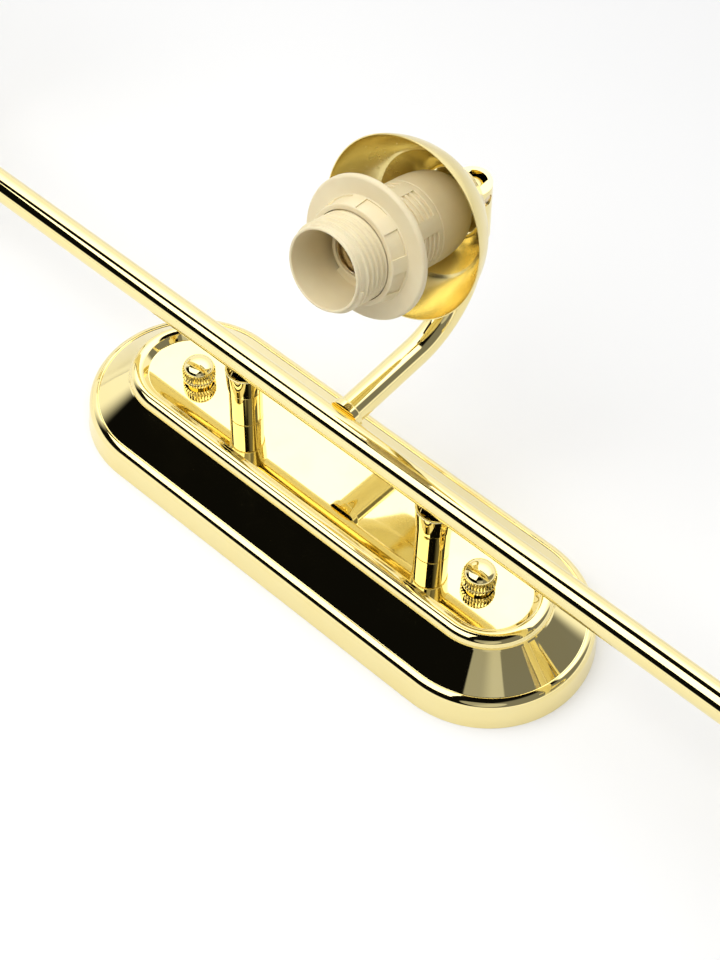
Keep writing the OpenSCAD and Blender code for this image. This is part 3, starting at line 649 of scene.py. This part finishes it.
def armPlace(side):
    lean = Matrix.Rotation(math.pi / 2 + arm["tilt"], 4, "X")
    root = (0, -arm["reach"], -(arm["bend"] + arm["endRun"] + arm["pivotHeight"]))
    pivot = Matrix.Translation(joints["head_tilt_" + side]["pos_m"])
    return pivot @ lean @ Matrix.Translation(root)


def makeArms():
    run = arm["reach"] - arm["bend"]
    deselectAll()
    bpy.ops.mesh.primitive_circle_add(vertices=arm["sides"], radius=arm["radius"],
                                      location=(0, arm["root"], 0),
                                      rotation=(math.pi / 2, 0, 0), fill_type="NGON")
    bpy.ops.object.transform_apply(location=True, rotation=True, scale=True)
    pattern = bpy.context.object
    bpy.ops.object.mode_set(mode="EDIT")
    bpy.ops.mesh.select_all(action="SELECT")
    extruded((0, run - arm["root"], 0))
    bpy.ops.mesh.spin(steps=arm["bendSteps"], angle=-math.pi / 2,
                      center=(0, run, arm["bend"]), axis=(1, 0, 0))
    extruded((0, 0, arm["endRun"]))
    weld()
    bpy.ops.object.mode_set(mode="OBJECT")
    collar = turned("collar_pattern", rounded([
        (arm["radius"], arm["root"], 0), (arm["collarRadius"], arm["root"], 0),
        (arm["collarRadius"], arm["collarEnd"], arm["collarRound"]),
        (arm["radius"], arm["collarEnd"], 0), (arm["radius"], arm["root"], 0),
    ]))
    collars = []
    lay = Matrix.Rotation(-math.pi / 2, 4, "X")
    for side in sides:
        piece = copied(pattern, "arm_%s_bent" % side, armPlace(side))
        dress(piece, "wall_frame", polishedGold, "polished_brass", "arm_" + side)
        collars.append(copied(collar, "arm_collar_" + side, armPlace(side) @ lay))
    allCollars = joined(*collars)
    allCollars.name = "arm_collars_brazed"
    dress(allCollars, "wall_frame", polishedGold, "polished_brass", "arm_collars")
    discard(pattern, collar)


makeArms()
print("arms bent")


# swivel: forked knuckle on the arm, pin, and the ball-ended tongue with its stem on the head
swivel = {
    "radius": 6.2 * mm, "footRadius": 4.75 * mm, "footHeight": 1.45 * mm, "footRound": 0.6 * mm,
    "end": 4.1 * mm, "slotHalf": 3.1 * mm, "slotRadius": 4.7 * mm, "slotSides": 96,
    "bevel": 0.3 * mm, "bevelSteps": 3, "bevelAngle": 45, "beyond": 12 * mm, "overcut": 1 * mm,
    "pinRadius": 1.98 * mm, "pinHole": 2 * mm, "pinHalf": 5.7 * mm, "pinDome": 0.3 * mm,
    "pinGap": 0.07 * mm, "pinSteps": 48,
    "ballHalf": 2.9 * mm, "ballRadius": 4.3 * mm, "ballSteps": 24, "ballBevelAngle": 40,
    "neckRadius": 2.4 * mm, "neckStart": 3 * mm,
    "shoulder": 7.6 * mm, "shoulderThick": 1 * mm, "shoulderRadius": 5.5 * mm,
    "stemRadius": 4.9 * mm, "stemEnd": 22.6 * mm, "stemBore": 3 * mm, "boreFloor": 1 * mm,
    "edge": 0.25 * mm, "steps": 64,
}


def makeKnuckles():
    pivot = arm["pivotHeight"]
    top = pivot + swivel["end"]
    low = pivot - swivel["slotRadius"]
    high = top + swivel["beyond"]
    beyond = swivel["beyond"]
    width = 2 * swivel["slotHalf"]
    pattern = turned("knuckle_pattern", rounded([
        (0, 0, 0), (swivel["footRadius"], 0, 0),
        (swivel["radius"], swivel["footHeight"], swivel["footRound"]),
        (swivel["radius"], top, 0), (0, top, 0),
    ]))
    pocket = rod(swivel["slotRadius"], high - low, (0, 0, (low + high) / 2), along="Z",
                 vertices=swivel["slotSides"])
    through = block(-beyond, beyond, low - swivel["overcut"], high + swivel["overcut"])
    cut(pocket, slab("slot_width", through, width), "INTERSECT")
    front = slab("slot_front", block(-beyond, 0, low, high), width)
    cut(front, pocket, "UNION")
    cut(pattern, front)
    cut(pattern, rod(swivel["pinHole"], cutReach * swivel["radius"], (0, 0, pivot)))
    bevelled(pattern, swivel["bevel"], swivel["bevelSteps"], swivel["bevelAngle"])
    pin = turned("pin_pattern", rounded([
        (0, -swivel["pinHalf"], 0), (swivel["pinRadius"], -swivel["pinHalf"], swivel["pinDome"]),
        (swivel["pinRadius"], swivel["pinHalf"], swivel["pinDome"]), (0, swivel["pinHalf"], 0),
    ]), steps=swivel["pinSteps"])
    lift = Matrix.Translation((0, arm["reach"], arm["bend"] + arm["endRun"]))
    across = Matrix.Translation((0, 0, pivot)) @ Matrix.Rotation(math.pi / 2, 4, "Y")
    for side in sides:
        piece = copied(pattern, "knuckle_%s_forked" % side, armPlace(side) @ lift)
        dress(piece, "wall_frame", polishedGold, "polished_brass", "knuckle_" + side)
        piece = copied(pin, "pivot_pin_%s_riveted" % side, armPlace(side) @ lift @ across)
        dress(piece, "wall_frame", contactBrass, "contact_brass", "pivot_pin_" + side)
    discard(pattern, pin)


def makeTongues():
    half = swivel["ballHalf"]
    flat = math.degrees(math.asin(half / swivel["ballRadius"]))
    ball = arc(0, 0, swivel["ballRadius"], -flat, flat, swivel["ballSteps"])
    pattern = turned("tongue_pattern", [(0, -half)] + ball + [(0, half)], steps=swivel["steps"])
    moved(pattern, Matrix.Rotation(math.pi / 2, 4, "Y"))
    hole = swivel["pinHole"] + swivel["pinGap"]
    cut(pattern, rod(hole, cutReach * swivel["ballRadius"], (0, 0, 0)))
    bevelled(pattern, swivel["edge"], swivel["bevelSteps"], swivel["ballBevelAngle"])
    shoulderTop = swivel["shoulder"] + swivel["shoulderThick"]
    boreFloor = shoulderTop + swivel["boreFloor"]
    stem = turned("stem_pattern", rounded([
        (0, swivel["neckStart"], 0), (swivel["neckRadius"], swivel["neckStart"], 0),
        (swivel["neckRadius"], swivel["shoulder"], swivel["edge"]),
        (swivel["shoulderRadius"], swivel["shoulder"], swivel["edge"]),
        (swivel["shoulderRadius"], shoulderTop, 0), (swivel["stemRadius"], shoulderTop, 0),
        (swivel["stemRadius"], swivel["stemEnd"], swivel["edge"]),
        (swivel["stemBore"], swivel["stemEnd"], 0),
        (swivel["stemBore"], boreFloor, 0), (0, boreFloor, 0),
    ]), steps=swivel["steps"])
    joined(pattern, stem)
    for side in sides:
        fitToHead(side, pattern, "tongue_%s_swivel", polishedGold, "polished_brass", "tongue_%s")
    discard(pattern)


makeKnuckles()
makeTongues()
print("swivels made")


# cups, spun from sheet: flat back, conical recess, step and flared bowl
cup = {
    "back": 8.6 * mm, "wall": 0.7 * mm, "hole": 4.92 * mm, "recessRadius": 19.1 * mm,
    "recessDepth": 10.9 * mm, "floorRadius": 11 * mm, "floorRound": 1.2 * mm,
    "stepRound": 0.6 * mm, "rimRadius": 28.2 * mm, "rim": 34 * mm, "rimWall": 0.35 * mm,
    "straightness": 1.5, "flareSteps": 24, "blendSteps": 3, "steps": 128,
    "edge": 0.12 * mm, "edgeSteps": 3, "edgeAngle": 60,
    "washerRadius": 10.8 * mm, "washerThick": 0.8 * mm,
}


def flare(low, high):
    points = []
    for step in range(cup["flareSteps"] + 1):
        angle = math.pi / 2 * step / cup["flareSteps"]
        spread = math.sin(angle) ** cup["straightness"]
        below = max(math.cos(angle), 0) ** cup["straightness"]
        points.append((low[0] + (high[0] - low[0]) * spread, high[1] - (high[1] - low[1]) * below))
    return points


# one side of the sheet; the first steps of the flare give way to the rounding of the step
def coneAndFlare(floor, step, out, rimRadius, floorRound, stepRound):
    bowl = flare((cup["recessRadius"] + out, step), (rimRadius, cup["rim"]))
    blend = cup["blendSteps"]
    cone = rounded([(cup["hole"], floor, 0), (cup["floorRadius"] + out, floor, floorRound),
                    (*bowl[0], stepRound), (*bowl[blend], 0)])
    return cone + bowl[blend + 1:]


def makeCups():
    floor = cup["back"] + cup["wall"]
    step = floor + cup["recessDepth"]
    lean = (cup["recessRadius"] - cup["floorRadius"]) / cup["recessDepth"]
    skin = cup["wall"] * (math.hypot(1, lean) - lean)
    inside = coneAndFlare(floor, step, 0, cup["rimRadius"] - cup["rimWall"],
                          cup["floorRound"], cup["stepRound"])
    outside = coneAndFlare(cup["back"], step - cup["wall"], skin, cup["rimRadius"],
                           cup["floorRound"] + cup["wall"], 0)
    outline = outside + inside[::-1] + outside[:1]
    pattern = turned("cup_pattern", outline, steps=cup["steps"])
    bevelled(pattern, cup["edge"], cup["edgeSteps"], cup["edgeAngle"])
    washerTop = floor + cup["washerThick"]
    washer = turned("washer_pattern", rounded([
        (cup["hole"], floor, 0), (cup["washerRadius"], floor, 0),
        (cup["washerRadius"], washerTop, cup["edge"]), (cup["hole"], washerTop, 0),
        (cup["hole"], floor, 0),
    ]))
    for side in sides:
        fitToHead(side, pattern, "cup_%s_spun", spunGold, "polished_brass", "cup_%s")
        fitToHead(side, washer, "cup_washer_%s_disc", polishedGold, "polished_brass",
                  "cup_washer_%s")
    discard(pattern, washer)


makeCups()
print("cups spun")


# lampholder: domed rear cap, sleeve with ribbed windows and thread
holder = {
    "mouth": 68.4 * mm, "radius": 13.6 * mm, "seam": 31.4 * mm, "rear": 13.1 * mm,
    "noseRadius": 8.5 * mm, "domeSteps": 15, "band": 4.6 * mm, "stem": 4.95 * mm,
    "boreStart": 6 * mm, "edge": 0.35 * mm, "bore": 11.7 * mm, "lipRadius": 12.55 * mm,
    "lipLength": 1.2 * mm, "lipRound": 0.1 * mm, "steps": 96, "roundSteps": 4,
    "threadRoot": 12.75 * mm, "threadCrest": 13.42 * mm, "threadStart": 48.6 * mm,
    "threadFoot": 0.7 * mm, "threadTip": 0.2 * mm, "threadSink": 0.2 * mm,
    "pitch": 2 * mm, "turns": 9, "threadSteps": 72,
    "windows": 6, "windowStart": 2.2 * mm, "windowLength": 11.4 * mm, "windowDepth": 0.8 * mm,
    "windowTurn": 7, "windowEdge": 0.2 * mm, "ribs": 5, "rib": 1 * mm, "ribDrop": 0.1 * mm,
    "ribRound": 0.3 * mm,
    "windowBar": 20, "barRoot": 0.4 * mm, "barPast": 0.6 * mm, "barSteps": 8,
}


def makeRearCaps():
    rise = holder["seam"] - holder["band"] - holder["rear"]
    swell = holder["radius"] - holder["noseRadius"]
    dome = []
    for step in range(holder["domeSteps"] + 1):
        angle = math.radians(90 * step / holder["domeSteps"])
        dome.append((holder["noseRadius"] + swell * math.sin(angle),
                     holder["rear"] + rise * (1 - math.cos(angle))))
    outline = [(holder["stem"], holder["rear"])] + dome + rounded([
        (*dome[-1], 0), (holder["radius"], holder["seam"], holder["edge"]),
        (holder["bore"], holder["seam"], 0),
        (holder["stem"], holder["rear"] + holder["boreStart"], 0),
        (holder["stem"], holder["rear"], 0),
    ])[1:]
    pattern = turned("rear_cap_pattern", outline, steps=holder["steps"])
    for side in sides:
        fitToHead(side, pattern, "rear_cap_%s_moulded", creamPlastic, "cream_plastic",
                  "rear_cap_%s")
    discard(pattern)


# the bars that part the windows, each a short arc of the sleeve's wall
def windowBars(deep, wide, low, high):
    root = deep - holder["barRoot"]
    below = low - holder["barPast"]
    above = high + holder["barPast"]
    bar = turned("window_bar", block(root, wide, below, above), steps=holder["barSteps"],
                 angle=math.radians(holder["windowBar"]))
    bars = []
    for index in range(holder["windows"]):
        middle = holder["windowTurn"] + (index + 0.5) * 360 / holder["windows"]
        start = math.radians(middle - holder["windowBar"] / 2)
        bars.append(copied(bar, "bar_%d" % index, Matrix.Rotation(start, 4, "Z")))
    discard(bar)
    return bars


def threadRidge():
    root = holder["threadRoot"] - holder["threadSink"]
    start = holder["threadStart"]
    foot = holder["threadFoot"]
    tip = holder["threadTip"]
    ridge = drawOutline("thread_pattern", [
        (root, 0, start - foot), (holder["threadCrest"], 0, start - tip),
        (holder["threadCrest"], 0, start + tip), (root, 0, start + foot), (root, 0, start - foot),
    ])
    weld()
    bpy.ops.object.mode_set(mode="OBJECT")
    applied(ridge, "SCREW", angle=turn, screw_offset=holder["pitch"], iterations=holder["turns"],
            steps=holder["threadSteps"], render_steps=holder["threadSteps"],
            use_merge_vertices=False)
    bpy.ops.object.mode_set(mode="EDIT")
    weld()
    bpy.ops.mesh.fill_holes(sides=0)
    bpy.ops.mesh.normals_make_consistent(inside=False)
    bpy.ops.object.mode_set(mode="OBJECT")
    return ridge


def makeSleeves():
    wide = holder["radius"]
    deep = wide - holder["windowDepth"]
    low = holder["seam"] + holder["windowStart"]
    high = low + holder["windowLength"]
    gap = (holder["windowLength"] - holder["ribs"] * holder["rib"]) / (holder["ribs"] + 1)
    corners = [(holder["bore"], holder["seam"], 0), (wide, holder["seam"], holder["edge"]),
               (wide, low, holder["windowEdge"]), (deep, low, 0)]
    top = wide - holder["ribDrop"]
    for rib in range(holder["ribs"]):
        start = low + gap + rib * (holder["rib"] + gap)
        end = start + holder["rib"]
        corners += [(deep, start, 0), (top, start, holder["ribRound"]),
                    (top, end, holder["ribRound"]), (deep, end, 0)]
    neck = holder["threadStart"] - holder["pitch"]
    lip = holder["mouth"] - holder["lipLength"]
    corners += [
        (deep, high, 0), (wide, high, holder["windowEdge"]), (wide, neck, holder["windowEdge"]),
        (holder["threadRoot"], neck, 0), (holder["threadRoot"], lip, holder["windowEdge"]),
        (holder["lipRadius"], lip, holder["lipRound"]),
        (holder["lipRadius"], holder["mouth"], holder["edge"]),
        (holder["bore"], holder["mouth"], holder["edge"]), (holder["bore"], holder["seam"], 0),
    ]
    outline = rounded(corners, holder["roundSteps"])
    pattern = turned("sleeve_pattern", outline, steps=holder["steps"])
    bars = windowBars(deep, wide, low, high)
    joined(pattern, threadRidge(), *bars)
    for side in sides:
        fitToHead(side, pattern, "sleeve_%s_moulded", creamPlastic, "cream_plastic", "sleeve_%s")
    discard(pattern)


# inside the mouth: contact carrier with a trough and two ledges, and the rolled screw shell
inner = {
    "floor": 54.4 * mm, "skirt": 50 * mm, "radius": 11.68 * mm, "back": 33.4 * mm,
    "troughWide": 10.8 * mm, "troughNarrow": 8.7 * mm, "troughFloor": 47.5 * mm,
    "wellRadius": 2.55 * mm, "wellFloor": 36.4 * mm, "edge": 0.25 * mm, "edgeSteps": 3, "steps": 72,
    "ledges": (60, 240), "ledgeSweep": 46, "ledgeTop": 53.0 * mm, "ledgeSink": 1 * mm,
    "ledgeSteps": 10,
    "shellRadius": 7.55 * mm, "shellFloor": 39.4 * mm, "shellDepth": 0.28 * mm,
    "shellMiddle": 7.1 * mm, "shellPitch": 2.82 * mm, "shellTurns": 5, "shellWall": 0.35 * mm,
    "shellWaves": 12, "shellSteps": 64, "shellBelowFloor": 0.3 * mm, "shellStart": 0.1 * mm,
    "shellSmooth": 50,
}


def screwShell():
    wave = []
    for step in range(inner["shellWaves"] + 1):
        angle = turn * step / inner["shellWaves"]
        wave.append((inner["shellMiddle"] + inner["shellDepth"] * math.cos(angle), 0,
                     inner["shellFloor"] + inner["shellPitch"] * step / inner["shellWaves"]))
    shell = drawOutline("shell_pattern", wave)
    bpy.ops.object.mode_set(mode="OBJECT")
    applied(shell, "SCREW", angle=turn, screw_offset=inner["shellPitch"],
            iterations=inner["shellTurns"], steps=inner["shellSteps"],
            render_steps=inner["shellSteps"], use_merge_vertices=True, merge_threshold=weldGap)
    bpy.ops.object.mode_set(mode="EDIT")
    weld()
    top = inner["floor"] - inner["shellBelowFloor"]
    bpy.ops.mesh.bisect(plane_co=(0, 0, top), plane_no=(0, 0, 1), clear_outer=True)
    bpy.ops.mesh.select_all(action="SELECT")
    bottom = inner["shellFloor"] + inner["shellStart"]
    bpy.ops.mesh.bisect(plane_co=(0, 0, bottom), plane_no=(0, 0, 1), clear_inner=True)
    bpy.ops.object.mode_set(mode="OBJECT")
    applied(shell, "SOLIDIFY", thickness=inner["shellWall"], offset=0)
    return shell


def makeCarriers():
    trough = inner["troughFloor"]
    pattern = turned("carrier_pattern", rounded([
        (0, inner["back"], 0), (inner["radius"], inner["back"], 0),
        (inner["radius"], inner["skirt"], 0), (inner["troughWide"], inner["skirt"], inner["edge"]),
        (inner["troughWide"], trough, 0), (inner["troughNarrow"], trough, 0),
        (inner["troughNarrow"], inner["floor"], inner["edge"]),
        (inner["shellRadius"], inner["floor"], inner["edge"]),
        (inner["shellRadius"], inner["shellFloor"], 0),
        (inner["wellRadius"], inner["shellFloor"], 0), (inner["wellRadius"], inner["wellFloor"], 0),
        (0, inner["wellFloor"], 0),
    ], inner["edgeSteps"]), steps=inner["steps"])
    ledges = []
    within = inner["troughNarrow"] - inner["ledgeSink"]
    foot = trough - inner["ledgeSink"]
    for start in inner["ledges"]:
        ledge = turned("ledge", block(within, inner["radius"], foot, inner["ledgeTop"]),
                       steps=inner["ledgeSteps"], angle=math.radians(inner["ledgeSweep"]))
        ledges.append(moved(ledge, Matrix.Rotation(math.radians(start), 4, "Z")))
    joined(pattern, *ledges)
    shell = screwShell()
    for side in sides:
        fitToHead(side, pattern, "contact_carrier_%s_moulded", creamPlastic, "cream_plastic",
                  "contact_carrier_%s")
        fitToHead(side, shell, "screw_shell_%s_rolled", contactBrass, "contact_brass",
                  "screw_shell_%s", smooth=inner["shellSmooth"])
    discard(pattern, shell)


makeRearCaps()
makeSleeves()
makeCarriers()
print("lampholders moulded")


# shade rings: flange and collar, with wide recesses between low lugs
ring = {
    "bore": 13.67 * mm, "radius": 21.7 * mm, "back": 49 * mm, "thick": 2 * mm,
    "edge": 0.4 * mm, "bevel": 1 * mm, "collarFoot": 16.1 * mm, "collarHeight": 5.6 * mm,
    "collarDraw": 0.9 * mm, "collarRound": 0.6 * mm, "steps": 128,
    "notches": 8, "notchDepth": 0.5 * mm, "notchFaces": 10, "notchStart": -7,
    "boreClear": 1 * mm,
}


def makeShadeRings():
    flangeFront = ring["back"] + ring["thick"]
    front = flangeFront + ring["collarHeight"]
    top = ring["collarFoot"] - ring["collarDraw"]
    pattern = turned("ring_pattern", rounded([
        (ring["bore"], ring["back"], 0), (ring["radius"], ring["back"], ring["edge"]),
        (ring["radius"], flangeFront, ring["bevel"]),
        (ring["collarFoot"], flangeFront, ring["edge"]), (top, front, ring["collarRound"]),
        (ring["bore"], front, 0), (ring["bore"], ring["back"], 0),
    ]), steps=ring["steps"])
    takeUp(pattern)
    bpy.ops.object.mode_set(mode="EDIT")
    step = ring["steps"] // ring["notches"]

    def inNotch(at):
        column = int(math.atan2(at.y, at.x) % turn / turn * ring["steps"])
        inTurn = (column - ring["notchStart"]) % step < ring["notchFaces"]
        onCollar = flangeFront + ring["edge"] < at.z < front - ring["collarRound"] / 2
        return inTurn and onCollar and math.hypot(at.x, at.y) > ring["bore"] + ring["boreClear"]
    pick(pattern, inNotch, "FACE")
    bpy.ops.mesh.extrude_region_shrink_fatten(
        TRANSFORM_OT_shrink_fatten={"value": -ring["notchDepth"]})
    bpy.ops.object.mode_set(mode="OBJECT")
    for side in sides:
        fitToHead(side, pattern, "shade_ring_%s_notched", creamPlastic, "cream_plastic",
                  "shade_ring_%s", body="ring_%s")
    discard(pattern)


makeShadeRings()
print("shade rings notched")


# pieces behind the plate and inside the heads keep their CAD shape and get their finish
def finishInnerPieces():
    finishes = {
        "wall_bracket": zincSteel, "bracket_studs": zincSteel, "stud_lock_nuts": zincSteel,
        "post_washers": zincSteel, "post_nuts": zincSteel, "terminal_block": whitePlastic,
        "terminal_screws": contactBrass, "earth_screw": contactBrass, "earth_washer": contactBrass,
    }
    for side in sides:
        finishes["stem_nut_" + side] = zincSteel
        finishes["centre_contact_" + side] = contactBrass
    for name, material in finishes.items():
        nodes[name].data.materials.clear()
        nodes[name].data.materials.append(material)


finishInnerPieces()
print("inner pieces finished")


# pale wall behind the lamp, open behind the plate and clear from its back
wall = {
    "holeInset": 1 * mm, "gap": 0.2 * mm, "growth": 40, "steps": 64,
    "colour": (0.8, 0.8, 0.8, 1), "glow": 0.16,
}


def wallPaint():
    material, make = startMaterial("paleWall")
    rays = ("Is Camera Ray", "Is Glossy Ray", "Is Transmission Ray")
    direct, glossy, through = [make.node("LightPath", name) for name in rays]
    seen = direct + glossy + through
    paint = make.node("BsdfDiffuse", inputs={"Color": wall["colour"]})
    glow = make.node("Emission", inputs={"Color": (1, 1, 1, 1), "Strength": seen * wall["glow"]})
    front = make.node("AddShader", inputs={0: paint, 1: glow})
    clear = make.node("BsdfTransparent")
    back = make.node("NewGeometry", "Backfacing")
    both = make.node("MixShader", inputs={0: back, 1: front, 2: clear})
    make.node("OutputMaterial", inputs={"Surface": both})
    return material


def makeWall():
    deselectAll()
    bpy.ops.mesh.primitive_circle_add(vertices=wall["steps"], radius=plateHalf - wall["holeInset"],
                                      location=(0, wall["gap"], 0), rotation=(math.pi / 2, 0, 0))
    piece = bpy.context.object
    piece.name = "stage_wall"
    bpy.ops.object.transform_apply(location=True, rotation=True, scale=True)
    bpy.ops.object.mode_set(mode="EDIT")
    for sign in (1, -1):
        pick(piece, lambda at: at.x * sign > weldGap, "VERT")
        bpy.ops.transform.translate(value=(sign * plateStraight, 0, 0))
    bpy.ops.mesh.select_all(action="SELECT")
    bpy.ops.mesh.extrude_region_move()
    bpy.ops.transform.resize(value=(wall["growth"], 1, wall["growth"]),
                             center_override=(0, wall["gap"], 0))
    pick(piece, lambda at: True, "FACE")
    mesh = bmesh.from_edit_mesh(piece.data)
    mesh.faces.ensure_lookup_table()
    mesh.normal_update()
    if mesh.faces[0].normal.y > 0:  # the front is towards -Y
        bpy.ops.mesh.flip_normals()
    bpy.ops.object.mode_set(mode="OBJECT")
    piece.data.materials.append(wallPaint())


makeWall()
print("wall made")


# studio: the room in the mirror of the metal is pale above and by the wall, dark below with a
# lighter patch and dim on the right; plain fill and one soft light before the wall light the rest
studio = {
    "steep": 2.3, "steepFrom": 0.875, "leftFrom": 0.55, "leftFall": 1.0, "level": 0.06,
    "highest": 0.37, "sharp": 0.03, "softLow": -0.3, "softHigh": 0.15, "leftStart": 0.6,
    "leftEnd": 0.8, "lowFrom": 0.14, "lowTo": 0.2,
    "dark": 0.004, "sky": 1.15, "skyTop": 1.1, "topFrom": 0.45, "topTo": 0.85,
    "patchWay": (0.55, -0.56, -0.62), "patchEdge": math.radians(17), "patch": 0.4,
    "patchSoft": 0.004, "dimFrom": 0.45, "dimTo": 0.6, "dim": 0.22,
    "fill": 0.02, "fillBack": 0.1, "backFrom": -0.6, "backTo": 0.8,
    "fillTop": 1.7, "fillFrom": 0.5, "fillTo": 1.0,
    "softPlace": (-0.2, -0.548, -0.339), "softAlong": (-0.978, 0, -0.208),
    "softLong": 0.64, "softDeep": 0.45, "softPower": 2.1,
}
outward = Vector((0, -1, 0))  # away from the wall
upward = Vector((0, 0, 1))
rightward = Vector((1, 0, 0))


def roomShade(make, way):
    across = way.dot(rightward)
    leftward = make.math("MAXIMUM", -1 * across - studio["leftFrom"], 0.0)
    border = make.math("MAXIMUM", studio["steep"] * across + studio["steepFrom"],
                       studio["level"] - studio["leftFall"] * leftward)
    past = way.dot(upward) - make.math("MINIMUM", border, studio["highest"])
    left = (-1 * across).between(studio["leftStart"], studio["leftEnd"])
    right = across.between(studio["dimFrom"], studio["dimTo"])
    pale = (left * past.between(studio["softLow"], studio["softHigh"])
            + (1 - left) * past.between(-studio["sharp"], studio["sharp"]))
    low = 1 - way.dot(outward).between(studio["lowFrom"], studio["lowTo"])
    pale = make.math("MAXIMUM", pale * (1 - right), low)
    top = way.dot(outward).between(studio["topFrom"], studio["topTo"])
    sky = studio["sky"] + studio["skyTop"] * top
    edge = math.cos(studio["patchEdge"])
    near = way.dot(Vector(studio["patchWay"]).normalized())
    patch = near.between(edge - studio["patchSoft"], edge + studio["patchSoft"])
    dark = studio["dark"] + studio["patch"] * patch + studio["dim"] * right
    return pale * sky + (1 - pale) * dark


def lightStudio():
    world = bpy.data.worlds.new("studio")
    world.use_nodes = True
    world.node_tree.nodes.clear()
    bpy.context.scene.world = world
    make = Shade(world.node_tree)
    way = make.node("TexCoord", "Generated")
    shade = roomShade(make, way)
    back = way.dot(upward).between(studio["backFrom"], studio["backTo"])
    top = way.dot(outward).between(studio["fillFrom"], studio["fillTo"])
    lift = studio["fill"] + studio["fillBack"] * back + studio["fillTop"] * top
    seen = make.node("LightPath", "Is Camera Ray")
    soft = make.node("LightPath", "Is Diffuse Ray")
    strength = seen + (1 - seen) * (soft * lift + (1 - soft) * shade)
    light = make.node("Background", inputs={"Color": (1, 1, 1, 1), "Strength": strength})
    make.node("OutputWorld", inputs={"Surface": light})


def addSoftLight():
    along = Vector(studio["softAlong"]).normalized()
    facing = Matrix((along, outward.cross(along), outward)).transposed()
    bpy.ops.object.light_add(type="AREA", location=studio["softPlace"], rotation=facing.to_euler())
    lamp = bpy.context.object
    lamp.name = "soft_light"
    lamp.data.shape = "RECTANGLE"
    lamp.data.size = studio["softLong"]
    lamp.data.size_y = studio["softDeep"]
    lamp.data.energy = studio["softPower"]
    lamp.visible_camera = False


lightStudio()
addSoftLight()
print("studio lit")

deselectAll()
